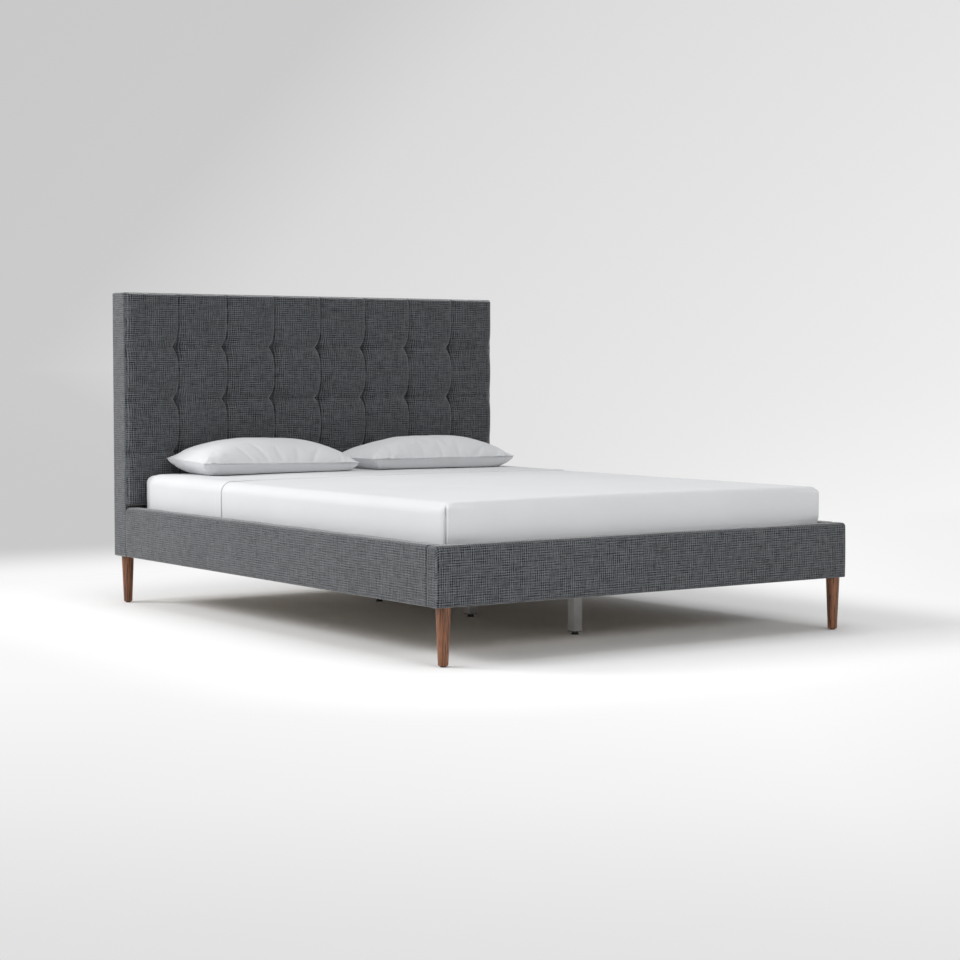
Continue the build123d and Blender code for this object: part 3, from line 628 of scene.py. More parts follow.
    def off_bed(self, tree, place):
        """0 under and beside the bed and 1 from a metre off it: the distance past its outline, eased."""
        beyond = wire(tree, "VectorMath", {0: place}, operation="ABSOLUTE")
        beyond = wire(tree, "VectorMath", {0: beyond, 1: self.BED_OUTLINE}, operation="SUBTRACT")
        beyond = wire(tree, "VectorMath", {0: beyond, 1: (0.0, 0.0, 0.0)}, operation="MAXIMUM")
        far = wire(tree, "VectorMath", {0: beyond}, output=1, operation="LENGTH")
        return eased(tree, far, 0.25, 1.0)

    def make_lamp(self, context, name, place, target, size, watts):
        """A rectangular lamp turned to a target."""
        lamp = bpy.data.lights.new(name, "AREA")
        lamp.shape = "RECTANGLE"
        lamp.size, lamp.size_y = size
        lamp.energy = watts
        piece = bpy.data.objects.new(name, lamp)
        piece.location = place
        way = Vector(target) - Vector(place)
        piece.rotation_euler = way.to_track_quat("-Z", "Y").to_euler()
        piece.visible_camera = False
        context.scene.collection.objects.link(piece)


# Headboard


def sampled(low, high, count, near_ends, extra=()):
    """Even samples from low to high, with more of them close to both ends and at extra places."""
    near = np.asarray(near_ends)
    every = np.concatenate([np.linspace(low, high, count), low + near, high - near, np.asarray(extra, float)])
    every = np.unique(every.round(5))
    return every[np.concatenate([[True], np.diff(every) > 2e-4])]


class BED_OT_headboard_front(Operator):
    """Make the tufted front of the headboard"""

    bl_idname = "bed.headboard_front"
    bl_label = "Headboard front"

    EDGE_SAMPLES = (0.0004, 0.001, 0.002, 0.0035, 0.006, 0.009, 0.013)
    CREASE_SAMPLES = (-0.004, -0.0024, -0.0012, 0.0, 0.0012, 0.0024, 0.004)
    SAMPLES_ACROSS, SAMPLES_UP = 42, 40
    SEAM_DEPTH = 0.004
    PINCH_REACH = 0.006
    COLUMN_CREASE, ROW_CREASE = 0.0032, 0.004
    NOTCH_REACH = 0.030
    SWAY_REACH, SWAY_ROUND = 0.045, 0.03

    def execute(self, context):
        forms = context.scene.bed_forms
        _, _, columns, rows = self.tufts()
        at_columns = (columns[:, None] + self.CREASE_SAMPLES).ravel()
        at_rows = (rows[:, None] + self.CREASE_SAMPLES).ravel()
        x = sampled(COVER_LOW.x, COVER_HIGH.x, self.SAMPLES_ACROSS * (TUFT_COLUMNS + 1) + 1,
                    self.EDGE_SAMPLES, at_columns)
        z = sampled(COVER_LOW.z, COVER_HIGH.z, self.SAMPLES_UP * (TUFT_ROWS + 1) + 1,
                    self.EDGE_SAMPLES, at_rows)
        across, up = np.meshgrid(x, z, indexing="ij")
        front = SEAM_Y - self.height(across, up, forms)
        points = np.stack([across + self.sway(across, up, forms), front, up], -1)
        rim = np.pad(points, ((1, 1), (1, 1), (0, 0)), mode="edge")
        rim[[0, -1], :, 1] = COVER_HIGH.y
        rim[:, [0, -1], 1] = COVER_HIGH.y
        uv = rim[..., [0, 2]].reshape(-1, 2)
        quads = grid_quads(*rim.shape[:2], False)
        back = grid_border(*rim.shape[:2])[::-1]
        corner_uv = np.concatenate([uv[quads].reshape(-1, 2), uv[back]])
        piece = build("headboard_front", rim, quads.tolist() + [back.tolist()], corner_uv)
        dress(piece, upholstery(context), "upholstery", "frame", "headboard_cover", "headboard_foam")
        return {"FINISHED"}

    def tufts(self):
        """The spacing of the tufts and where their columns and rows lie."""
        pitch_x = (COVER_HIGH.x - COVER_LOW.x) / (TUFT_COLUMNS + 1)
        pitch_z = (COVER_HIGH.z - COVER_LOW.z) / (TUFT_ROWS + 1)
        columns = COVER_LOW.x + pitch_x * np.arange(1, TUFT_COLUMNS + 1)
        rows = COVER_LOW.z + pitch_z * np.arange(1, TUFT_ROWS + 1)
        return pitch_x, pitch_z, columns, rows

    def distances(self, x, z):
        """How far each place is from the nearest column and row of tufts and from the cover's edges.

        The first two are also given as shares of half the spacing, from 0 to 1.
        """
        pitch_x, pitch_z, columns, rows = self.tufts()
        off_column = np.abs(x[..., None] - columns).min(-1)
        off_row = np.abs(z[..., None] - rows).min(-1)
        far_column = np.clip(2.0 * off_column / pitch_x, 0.0, 1.0)
        far_row = np.clip(2.0 * off_row / pitch_z, 0.0, 1.0)
        edge_x = np.minimum(x - COVER_LOW.x, COVER_HIGH.x - x)
        edge_z = np.minimum(z - COVER_LOW.z, COVER_HIGH.z - z)
        return off_column, off_row, far_column, far_row, edge_x, edge_z

    def sway(self, x, z, forms):
        """How far the cloth beside an upright pleat leans to the right.

        Nothing at a tuft, rising along a power curve to the full sway between two, and falling off from
        the pleat as a bell curve. A quarter round brings it to nothing at the top and bottom.
        """
        off_column, _, _, far_row, _, edge_z = self.distances(x, z)
        between = (1.0 - (1.0 - far_row) ** 3.7) * np.exp(-((off_column / self.SWAY_REACH) ** 2))
        return forms.pleat_sway * between * quarter_round(edge_z, self.SWAY_ROUND)

    def height(self, x, z, forms):
        """Height of the cover in front of its seam.

        Cushions stand at the crown. Round each tuft the cloth falls to it along a power curve of the
        distance, with a small cone at the tuft itself. Upright and level pleats are narrow dips between
        the tufts, and at the side edges the level ones are notches. A quarter round rolls the whole cover
        down to its seam.
        """
        off_column, off_row, far_column, far_row, edge_x, edge_z = self.distances(x, z)
        reach = np.clip(np.hypot(far_column, far_row), 0.0, 1.0)
        drawn = forms.tuft_depth * (1.0 - reach) ** 3.4
        pinch = forms.tuft_pinch * np.exp(-np.hypot(off_column, off_row) / self.PINCH_REACH)
        taut = 0.42 + 0.58 * (1.0 - far_row) ** 1.6
        crease = taut * np.exp(-off_column / self.COLUMN_CREASE)
        column_dip = forms.column_pleat * (0.45 * (1.0 - far_column) ** 4 + 0.55 * crease)
        row_dip = forms.row_pleat * (0.6 * (1.0 - far_row) ** 4 + 0.4 * np.exp(-off_row / self.ROW_CREASE))
        notch = forms.side_notch * np.exp(-edge_x / self.NOTCH_REACH) * (1.0 - far_row) ** 2.6
        places = np.stack([x, z], -1)
        uneven = 0.0012 * unevenness(places, 0.16, 3) + 0.0005 * unevenness(places, 0.05, 4)
        height = forms.crown + uneven - drawn - pinch - column_dip - row_dip - notch
        height = np.maximum(height, SEAM_Y - COVER_HIGH.y + 0.0005)
        rolled = quarter_round(edge_x, forms.side_roll) * quarter_round(edge_z, forms.top_roll)
        return (height + self.SEAM_DEPTH) * rolled - self.SEAM_DEPTH


class BED_OT_headboard_band(Operator):
    """Make the cloth band round the sides and top of the headboard"""

    bl_idname = "bed.headboard_band"
    bl_label = "Headboard band"

    LIP, LIP_DROP = 0.010, 0.0022
    WALL, GAP, FOLD = 0.0024, 0.0002, 0.0011
    INSET, CORNER = 0.003, 0.004

    def execute(self, context):
        path, outwards, travel = self.path()
        depth = BAND_HIGH.y - BAND_LOW.y
        section = self.section(depth)
        rings = np.zeros((len(path), len(section), 3))
        rings[..., 0] = path[:, None, 0] + outwards[:, None, 0] * section[None, :, 1]
        rings[..., 1] = BAND_LOW.y + section[None, :, 0]
        rings[..., 2] = path[:, None, 1] + outwards[:, None, 1] * section[None, :, 1]
        sway = 0.0004 * unevenness(rings, 0.22, 11)
        rings[..., 0] -= np.abs(sway) * outwards[:, None, 0]
        caps = [section, section]
        piece = tube_piece("headboard_band", rings, travel, round_length(section), caps, flip=True)
        dress(piece, upholstery(context), "upholstery", "frame", "headboard_band")
        return {"FINISHED"}

    def path(self):
        """Up the left side, over the top and down the right side, with small round corners."""
        inner_x = BAND_HIGH.x - self.INSET
        inner_z = BAND_HIGH.z - self.INSET
        radius = self.CORNER
        turn = np.linspace(0.0, math.pi / 2, 7)
        rise = np.linspace(BAND_LOW.z, inner_z - radius, 90)
        left = np.stack([np.full_like(rise, -inner_x), rise], -1)
        bend = np.stack([-inner_x + radius * (1 - np.cos(turn)), inner_z - radius * (1 - np.sin(turn))], -1)
        reach = np.linspace(-inner_x + radius, inner_x - radius, 150)
        top = np.stack([reach, np.full_like(reach, inner_z)], -1)
        half = np.concatenate([left[:-1], bend[:-1]])
        path = np.concatenate([half, top, half[::-1] * (-1.0, 1.0)])
        step = np.gradient(path, axis=0)
        step /= np.linalg.norm(step, axis=1, keepdims=True)
        outwards = np.stack([-step[:, 1], step[:, 0]], -1)
        return path, outwards, run_length(path)

    def section(self, depth):
        """The band cut across: a thin strip whose long edges ease in, as cloth folds over a board's edge."""
        section = rounded_ring((0.0, self.GAP), (depth, self.GAP + self.WALL), (self.FOLD,) * 4, 4, (30, 1))
        edge = np.minimum(section[:, 0], depth - section[:, 0])
        section[:, 1] -= self.LIP_DROP * (1.0 - quarter_round(edge, self.LIP))
        return section


class BED_OT_headboard_back(Operator):
    """Make the flat cloths on the headboard's back and on its apron"""

    bl_idname = "bed.headboard_back"
    bl_label = "Headboard back"

    CLOTH = 0.0009

    def execute(self, context):
        lining = plain_cloth("lining_cloth", (0.030, 0.031, 0.034), (0.062, 0.064, 0.068), 0.0012)
        self.flat_cloth(lining, "back_cloth", BACK_LOW, BACK_HIGH, 1.0, "headboard_back_cloth",
                        ["headboard_post_left", "headboard_post_right", "headboard_top_rail"])
        self.flat_cloth(upholstery(context), "upholstery", APRON_LOW, APRON_HIGH, -1.0, "apron_cover",
                        ["headboard_apron"])
        return {"FINISHED"}

    def flat_cloth(self, material, slot, low, high, facing, node, rests_on):
        """A cloth pulled flat over a face, which gives a little between its edges."""
        x = np.linspace(low.x, high.x, 170)
        z = np.linspace(low.z, high.z, 90)
        across, up = np.meshgrid(x, z, indexing="ij")
        places = np.stack([across, up], -1)
        edge = np.minimum(np.minimum(across - low.x, high.x - across), np.minimum(up - low.z, high.z - up))
        slack = ease(edge, 0.0, 0.10) * (0.0003 + 0.0003 * unevenness(places, 0.30, 21))
        face = high.y if facing > 0 else low.y
        points = np.stack([across, face - facing * (0.0001 + np.abs(slack)), up], -1)
        piece = sheet_piece(node, points, places, flip=facing > 0)
        thicken(piece, self.CLOTH)
        dress(piece, material, slot, "frame", node)


# Rails


class BED_OT_rails(Operator):
    """Make the padded sleeves of the side rails and the foot rail"""

    bl_idname = "bed.rails"
    bl_label = "Rails"

    TOP_RADIUS, BASE_RADIUS = 0.012, 0.004
    FOOT_EASE, HEAD_EASE, SIDE_EASE = 0.005, 0.013, 0.004
    FRONT_CORNER, BACK_CORNER, TOP_CORNER = 0.014, 0.004, 0.012
    END_GAP = 0.0004
    SIDE_SAMPLES = (0.0004, 0.0012, 0.0025, 0.0045, 0.008, 0.013)
    FOOT_SAMPLES = (0.0003, 0.001, 0.002, 0.0035, 0.0055, 0.008, 0.011, 0.014)

    def execute(self, context):
        swell = context.scene.bed_forms.rail_swell
        for hand, seed in (("left", 31), ("right", 37)):
            piece = self.side_rail(hand, swell, seed)
            self.upholster(context, piece, f"side_rail_cover_{hand}", f"side_rail_padding_{hand}")
        self.upholster(context, self.foot_rail(swell, 41), "foot_rail_cover", "foot_rail_padding")
        return {"FINISHED"}

    def upholster(self, context, piece, *stands_for):
        """Give a rail its cloth, in place of the frame's cover and padding."""
        dress(piece, upholstery(context), "upholstery", "frame", *stands_for)

    def sections(self, low, high, shrink):
        """Rounded sections along a rail; shrink says how far each is drawn in on its four sides."""
        radii = (self.BASE_RADIUS, self.BASE_RADIUS, self.TOP_RADIUS, self.TOP_RADIUS)
        return np.stack([
            rounded_ring((low[0] + near, low[1] + under), (high[0] - far, high[1] - over), radii, 7, (7, 26))
            for near, under, far, over in zip(*shrink)
        ])

    def swollen(self, points, outer, inner, low_z, high_z, swell, seed, axis):
        """Push the outer face out in a shallow arch over its height, and leave it a little uneven."""
        share = np.clip((points[..., 2] - low_z) / (high_z - low_z), 0.0, 1.0)
        outness = ease(np.abs(points[..., axis] - inner), 0.6 * abs(outer - inner), abs(outer - inner))
        arch = np.sin(math.pi * share) ** 0.7 * swell
        uneven = 0.0006 * unevenness(points, 0.25, seed) + 0.0003 * unevenness(points, 0.09, seed + 1)
        points[..., axis] += math.copysign(1.0, outer - inner) * outness * (arch - swell * 0.4 + uneven)
        points[..., 2] += ease(points[..., 2], high_z - 0.01, high_z) * (uneven - 0.0006)
        return points

    def side_rail(self, hand, swell, seed):
        """A side rail: its section carried from the foot to the headboard, with eased ends."""
        low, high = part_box(f"side_rail_cover_{hand}")
        y = sampled(low.y + self.END_GAP, high.y - self.END_GAP, 150, self.SIDE_SAMPLES)
        foot = 1.0 - quarter_round(y - y[0], self.FOOT_EASE)
        head = 1.0 - quarter_round(y[-1] - y, self.HEAD_EASE)
        sides = self.SIDE_EASE * np.maximum(foot, 1.0 - quarter_round(y[-1] - y, self.FOOT_EASE))
        over = np.maximum(self.FOOT_EASE * foot, self.HEAD_EASE * head)
        cuts = self.sections((low.x, low.z), (high.x, high.z), (sides, sides, sides, over))
        rings = np.stack([cuts[..., 0], np.broadcast_to(y[:, None], cuts.shape[:2]), cuts[..., 1]], -1)
        outer, inner = (low.x, high.x) if hand == "left" else (high.x, low.x)
        rings = self.swollen(rings, outer, inner, low.z, high.z, swell, seed, 0)
        around = round_length(cuts[len(y) // 2])
        return tube_piece(f"side_rail_{hand}", rings, y, around, [cuts[0], cuts[-1]])

    def foot_rail(self, swell, seed):
        """The foot rail: its section carried from side to side, with round front corners."""
        x = sampled(FOOT_LOW.x, FOOT_HIGH.x, 150, self.FOOT_SAMPLES)
        end = np.minimum(x - x[0], x[-1] - x)
        corners = (self.FRONT_CORNER, self.BACK_CORNER, self.BACK_CORNER, self.TOP_CORNER)
        shrink = [radius * (1.0 - quarter_round(end, radius)) for radius in corners]
        cuts = self.sections((FOOT_LOW.y, FOOT_LOW.z), (FOOT_HIGH.y, FOOT_HIGH.z), shrink)
        rings = np.stack([np.broadcast_to(x[:, None], cuts.shape[:2]), cuts[..., 0], cuts[..., 1]], -1)
        rings = self.swollen(rings, FOOT_LOW.y, FOOT_HIGH.y, FOOT_LOW.z, FOOT_HIGH.z, swell, seed, 1)
        around = round_length(cuts[len(x) // 2])
        return tube_piece("foot_rail", rings, x, around, [cuts[0], cuts[-1]], flip=True)


# Mattress and sheets

# Powers of the superellipse that a corner follows seen from above, at the foot and at the head
FOOT_BOXY, HEAD_BOXY = 4.5, 9.0


def wrap(out_x, out_y, height, forms, base):
    """Carry a grid of cloth over a mattress and down its sides.

    out_x and out_y are cloth distances past a flat middle that stops a corner's radius short of the sides.
    The larger one runs down a profile: the rest of the flat, a quarter round, the straight side, a small
    round below and the tuck under it. In a corner the ratio of the two gives the way round it, so that a
    square of the grid becomes a quarter of a drum, squared off as a superellipse, and the quarter round
    changes from the long side's radius to the end's. Returns how far out and down each point lies, the way
    out, the lean of its normal from upright and its turn round a corner from 0 on a long side to 1 on an end.
    """
    past_x, past_y = np.abs(out_x), np.abs(out_y)
    past = np.maximum(past_x, past_y)
    ratio = np.minimum(past_x, past_y) / np.maximum(past, 1e-9)
    turn = np.where(past_x >= past_y, 0.5 * ratio, 1.0 - 0.5 * ratio)
    end_edge = np.where(out_y < 0.0, forms.foot_edge, forms.head_edge)
    edge = forms.side_edge + (end_edge - forms.side_edge) * ease(turn, 0.0, 1.0)
    lead = forms.plan_corner - edge
    over = np.maximum(past - lead, 0.0)
    bend = np.clip(over / edge, 0.0, math.pi / 2)
    side = height - edge - base
    rest = over - math.pi / 2 * edge
    under = np.clip((rest - side) / base, 0.0, math.pi / 2)
    below = np.maximum(rest - side - math.pi / 2 * base, 0.0)
    out = np.minimum(past, lead) + edge * np.sin(bend) - base * (1.0 - np.cos(under)) - below
    drop = edge * (1.0 - np.cos(bend)) + np.clip(rest, 0.0, side) + base * np.sin(under)
    across, along = np.cos(turn * math.pi / 2), np.sin(turn * math.pi / 2)
    way = np.stack([np.sign(out_x) * across, np.sign(out_y) * along], -1)
    boxy = np.where(out_y < 0.0, FOOT_BOXY, HEAD_BOXY)
    square = (np.abs(across) ** boxy + np.abs(along) ** boxy) ** (1.0 / boxy)
    return out / square, drop, way, bend, turn


class BED_OT_mattress(Operator):
    """Make the mattress and the two sheets on it"""

    bl_idname = "bed.mattress"
    bl_label = "Mattress and sheets"

    BASE = 0.016
    TUCK = 0.012
    CROWN = 0.006
    SINK = 0.0024
    UNDER_SHEET = 0.0005
    CLOTH = 0.0006
    HEM_WIDTH, STITCH_LINE = 0.0412, 0.0375
    HEM_SAMPLES = np.array((0.0412, 0.0404, 0.0396, 0.0385, 0.0375, 0.030, 0.020, 0.010, 0.005, 0.003, 0.0015,
                            0.0005, 0.0))

    def execute(self, context):
        forms = context.scene.bed_forms
        ticking = plain_cloth("ticking_cloth", (0.70, 0.70, 0.68), (0.84, 0.84, 0.82), 0.003)
        piece, _ = self.covering("mattress", CORE_LOW, CORE_HIGH, self.SINK + self.UNDER_SHEET, forms, None)
        self.close_below(piece)
        dress(piece, ticking, "ticking", "mattress", "mattress_core")
        piece, flat = self.covering("fitted_sheet", FITTED_LOW, FITTED_HIGH, self.SINK, forms, None)
        thicken(piece, self.CLOTH)
        dress(piece, linen(context), "bed_linen", "mattress", "fitted_sheet")
        piece, flat = self.covering("flat_sheet", FLAT_LOW, FLAT_HIGH, self.SINK, forms, FLAT_HIGH.y)
        thicken(piece, self.CLOTH)
        dress(piece, linen(context), "bed_linen", "mattress", "flat_sheet")
        return {"FINISHED"}

    def drops(self, height, forms):
        """Cloth distances past the flat of the top, closer together where the cloth bends."""
        corner = forms.plan_corner
        foot = corner + height - self.BASE - 0.43 * forms.side_edge
        return np.concatenate([
            np.linspace(0.0, corner - 0.014, 13)[1:],
            np.arange(corner - 0.012, corner + 0.011, 0.002),
            np.linspace(corner + 0.013, corner + 0.030, 6),
            np.linspace(corner + 0.037, foot, 24),
            np.linspace(foot + 0.004, foot + 0.045 + self.TUCK, 12),
        ])

    def covering(self, name, low, high, sink, forms, hem):
        """A cloth over the mattress: all round it, or tucked in at the foot and turned down to a hem.

        A grid is laid out flat, wrapped over the top and the sides, raised by a shallow arch across the
        bed, and lifted off along its normals by its layers and its unevenness.
        """
        corner = forms.plan_corner
        height = high.z - low.z - sink
        drops = self.drops(height, forms)
        flat_x = np.linspace(low.x + corner, high.x - corner, 44)
        out_x = np.concatenate([-drops[::-1], np.zeros(len(flat_x)), drops])
        at_x = np.concatenate([np.full(len(drops), flat_x[0]), flat_x, np.full(len(drops), flat_x[-1])])
        foot = low.y + corner
        head = (high.y if hem is None else CORE_HIGH.y) - corner
        flat_y = np.linspace(foot, head, 64)
        if hem is None:
            end_out, end_at, end_layer = drops, np.full(len(drops), head), np.zeros(len(drops))
        else:
            end_at, end_layer = self.turned_down(head, hem, forms.turn_down)
            end_out = np.zeros(len(end_at))
        out_y = np.concatenate([-drops[::-1], np.zeros(len(flat_y)), end_out])
        at_y = np.concatenate([np.full(len(drops), foot), flat_y, end_at])
        layer = np.concatenate([np.zeros(len(drops) + len(flat_y)), end_layer])
        along = run_length(np.stack([at_y + out_y, layer], -1))
        places = np.stack(np.meshgrid(at_x + out_x, along, indexing="ij"), -1)
        flat = (float(at_x[-1] + out_x[-1] - at_x[0] - out_x[0]), float(along[-1]))
        out_x, out_y = np.meshgrid(out_x, out_y, indexing="ij")
        at_x, at_y = np.meshgrid(at_x, at_y, indexing="ij")
        out, drop, way, bend, turn = wrap(out_x, out_y, height, forms, self.BASE)
        points = np.stack([at_x + way[..., 0] * out, at_y + way[..., 1] * out, np.zeros_like(out)], -1)
        half_width = (high.x - low.x) / 2
        crown = self.CROWN * (1.0 - np.clip(points[..., 0] / half_width, -1.0, 1.0) ** 2)
        points[..., 2] = np.maximum(high.z - sink - self.CROWN - drop + crown, low.z + 0.0002)
        normal = np.concatenate([way * np.sin(bend)[..., None], np.cos(bend)[..., None]], -1)
        pressed = 0.08 + 0.92 * ease(np.abs(points[..., 0]), half_width - 0.20, half_width - 0.05)
        lift = layer * pressed + self.ruffle(points, out_x, out_y, drop, turn, forms, hem is not None)
        return sheet_piece(name, points + normal * lift[..., None], places), flat

    def turned_down(self, head, hem, gap):
        """The turned-down end of a sheet: its places along the bed, and how far it lies above the sheet.

        A half round at the head lifts it by the gap. Its hem is doubled, dips along its stitches and
        rolls under at the very edge.
        """
        fold = np.linspace(0.0, math.pi, 9)[1:-1]
        back = np.concatenate([np.linspace(head, hem + 0.046, 40), hem + self.HEM_SAMPLES])
        doubled = 0.0009 * ease(hem + self.HEM_WIDTH - back, 0.0, 0.0012)
        stitch = 0.0006 * np.exp(-(((back - hem - self.STITCH_LINE) / 0.0013) ** 2))
        rolled = 0.0032 * (1.0 - quarter_round(back - hem, 0.0035))
        at_y = np.concatenate([head + gap / 2 * np.sin(fold), back])
        layer = np.concatenate([gap / 2 * (1.0 - np.cos(fold)), gap + doubled - stitch - rolled])
        return at_y, layer

    def ruffle(self, points, out_x, out_y, drop, turn, forms, folded):
        """How far the cloth stands off: slow unevenness, and the fold at each foot corner.

        The fold is a groove with the rolled edge of a flap beside it, by the distance round the corner.
        A cloth that isn't folded is drawn in there instead, to leave room for the fold over it.
        """
        down = ease(drop, 0.0, 0.05) * ease(-drop, -0.235, -0.15)
        on_top = (1.0 - down) * ease(-drop, -0.05, 0.0)
        slack = 0.0008 * unevenness(points, 0.34, 51) + 0.0003 * unevenness(points, 0.10, 52) - 0.0006
        lift = down * slack + on_top * 0.0006 * (unevenness(points[..., :2], 0.45, 53) - 1.0)
        round_it = (turn - 0.5) * 1.9 * forms.plan_corner - 0.002
        if not folded:
            corner = (out_y < 0.0) & (out_x != 0.0)
            return lift - np.where(corner, 0.009 * np.exp(-((round_it / 0.016) ** 2)), 0.0)
        inward = CORE_HIGH.x - forms.plan_corner - np.abs(points[..., 0])
        round_it = np.where(out_x != 0.0, round_it, 0.95 * forms.plan_corner - 0.002 + inward)
        groove = 0.0060 * np.exp(-(((round_it + 0.0005) / 0.0024) ** 2))
        flap = ease(round_it, 0.0005, 0.0090) * (1.0 - ease(round_it, 0.012, 0.170))
        fold = forms.corner_fold * flap * (0.3 + 0.7 * ease(-drop, -0.128, -0.100)) - groove
        reach = ease(drop, 0.006, 0.020) * ease(-drop, -0.165, -0.130)
        return lift + np.where(out_y < 0.0, fold * reach, 0.0)

    def close_below(self, piece):
        """Close the mattress's underside with one flat face round its lower edge."""
        work = bmesh.new()
        work.from_mesh(piece.data)
        bmesh.ops.holes_fill(work, edges=[edge for edge in work.edges if edge.is_boundary], sides=0)
        work.to_mesh(piece.data)
        work.free()


# Pillows


class BED_OT_pillows(Operator):
    """Make the two pillows"""

    bl_idname = "bed.pillows"
    bl_label = "Pillows"

    # Corners of each seam, the powers of its end and side arches in pairs, its loft and its own unevenness
    SHAPES = {
        "pillow_left": {
            "corners": ((-0.687, 0.660, 0.538), (-0.015, 0.660, 0.526),
                        (-0.684, 0.966, 0.548), (0.010, 0.966, 0.539)),
            "ends": (3.4, 3.5), "sides": (2.34, 2.79), "loft": 1.015, "seed": 61,
        },
        "pillow_right": {
            "corners": ((0.052, 0.657, 0.537), (0.716, 0.660, 0.534),
                        (0.020, 0.966, 0.535), (0.717, 0.966, 0.541)),
            "ends": (3.0, 3.7), "sides": (2.86, 1.80), "loft": 0.985, "seed": 67,
        },
    }
    SWELL_CAP, UNDERSIDE_SHARE = 0.008, 0.4
    SWELL_FRAMES = 20
    SEAM_GAP = 0.0005
    END_HEM, SIDE_HEM = 0.994, 0.985
    BED_CROWN, BED_HALF, BED_PRESS = 0.006, 0.77, 0.0006

    def execute(self, context):
        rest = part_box("pillow_left")[0].z
        for name, shape in self.SHAPES.items():
            piece, seam = self.pillow(name, rest, context.scene.bed_forms, **shape)
            self.swell(context, piece, seam, rest)
            dress(piece, linen(context), "bed_linen", name, name)
        return {"FINISHED"}

    def bed_top(self, rest, x):
        """Height of the bed under a pillow: it falls off with the square of the distance across."""
        return rest - self.BED_PRESS - self.BED_CROWN * (x / self.BED_HALF) ** 2

    def swell(self, context, piece, seam, rest):
        """Blow a pillow up as cloth that is a little too large for it, with its seam held.

        Every point keeps the share of its move that leaves it within the cap, and none sinks into the bed.
        """
        start = np.empty(len(piece.data.vertices) * 3, np.float32)
        piece.data.vertices.foreach_get("co", start)
        start = start.reshape(-1, 3)
        half = len(start) // 2
        held = piece.vertex_groups.new(name="seam")
        held.add(np.concatenate([seam, seam + half]).tolist(), 1.0, "REPLACE")
        cloth = piece.modifiers.new("filling", "CLOTH")
        settings = cloth.settings
        settings.quality = 6
        settings.mass = 0.3
        settings.tension_stiffness = settings.compression_stiffness = 12.0
        settings.shear_stiffness = 6.0
        settings.bending_stiffness = 1.6
        settings.use_pressure = True
        settings.uniform_pressure_force = 3.0
        settings.shrink_min = -0.02
        settings.vertex_group_mass = held.name
        settings.effector_weights.gravity = 0.0
        cloth.point_cache.frame_end = self.SWELL_FRAMES
        for step in range(1, self.SWELL_FRAMES + 1):
            context.scene.frame_set(step)
        swollen = piece.evaluated_get(context.evaluated_depsgraph_get()).to_mesh()
        end = np.empty(start.size, np.float32)
        swollen.vertices.foreach_get("co", end)
        piece.modifiers.remove(cloth)
        piece.vertex_groups.remove(held)
        context.scene.frame_set(1)
        if not np.isfinite(end).all():
            raise RuntimeError(f"{piece.name}: the cloth simulation gave no shape")
        move = end.reshape(-1, 3) - start
        far = np.linalg.norm(move, axis=1, keepdims=True)
        upper = np.arange(len(start))[:, None] < half
        cap = np.where(upper, self.SWELL_CAP, self.UNDERSIDE_SHARE * self.SWELL_CAP)
        placed = start + move * cap / (cap + far)
        placed[:, 2] = np.maximum(placed[:, 2], self.bed_top(rest, placed[:, 0]))
        piece.data.vertices.foreach_set("co", placed.ravel())
        piece.data.update()

    def pillow(self, name, rest, forms, corners, ends, sides, loft, seed):
        """A knife-edged pillow: two crowned faces on one seam. Returns it and the seam's points.

        The seam's patch is drawn between the four corners and pulled in between them. Over it stand an
        arch along the pillow and an arch across it, and each face follows the lower of the two, with the
        hip between them rounded off. The underside is pressed flat on the bed.
        """
        corners = np.array(corners)
        u = np.linspace(-1.0, 1.0, 121)
        v = np.linspace(-1.0, 1.0, 71)
        u, v = 0.4 * u + 0.6 * np.sin(u * math.pi / 2), 0.4 * v + 0.6 * np.sin(v * math.pi / 2)
        u, v = np.meshgrid(u, v, indexing="ij")
        a, b = (u[..., None] + 1) / 2, (v[..., None] + 1) / 2
        patch = (corners[0] * (1 - a) * (1 - b) + corners[1] * a * (1 - b)
                 + corners[2] * (1 - a) * b + corners[3] * a * b)
        patch[..., 0] -= 0.014 * u * (1 - v**2)
        patch[..., 1] -= 0.010 * v * (1 - u**2)
        end_power = ends[0] + (ends[1] - ends[0]) * ease(u, -0.5, 0.5)
        side_power = sides[0] + (sides[1] - sides[0]) * ease(v, -0.5, 0.5)
        off_u = np.clip(np.abs(u) / self.END_HEM, 0.0, 1.0)
        off_v = np.clip(np.abs(v) / self.SIDE_HEM, 0.0, 1.0)
        crown = self.lower_of((1 - off_u**end_power) ** 0.88, (1 - off_v**side_power) ** 0.88, 3.0)
        belly = self.lower_of((1 - off_u**5) ** 0.62, (1 - off_v**4.6) ** 0.60, 2.2)
        plan = patch[..., :2]
        dents = 0.0016 * unevenness(plan, 0.30, seed) + 0.0008 * unevenness(plan, 0.10, seed + 1)
        top, bottom = patch.copy(), patch.copy()
        top[..., 2] += forms.pillow_loft * loft * crown + dents * np.sqrt(crown) + self.SEAM_GAP
        bottom[..., 2] -= forms.pillow_sink * belly + self.SEAM_GAP
        bottom[..., 2] = np.maximum(bottom[..., 2], self.bed_top(rest, patch[..., 0]))
        points = np.concatenate([top.reshape(-1, 3), bottom.reshape(-1, 3)])
        upper = grid_quads(*u.shape, False)
        seam = grid_border(*u.shape)
        beside = np.roll(seam, -1)
        edge = np.stack([seam, seam + u.size, beside + u.size, beside], -1)
        quads = np.concatenate([upper, upper[:, ::-1] + u.size, edge])
        return build(name, points, quads.tolist(), np.tile(plan.reshape(-1, 2), (2, 1))[quads]), seam

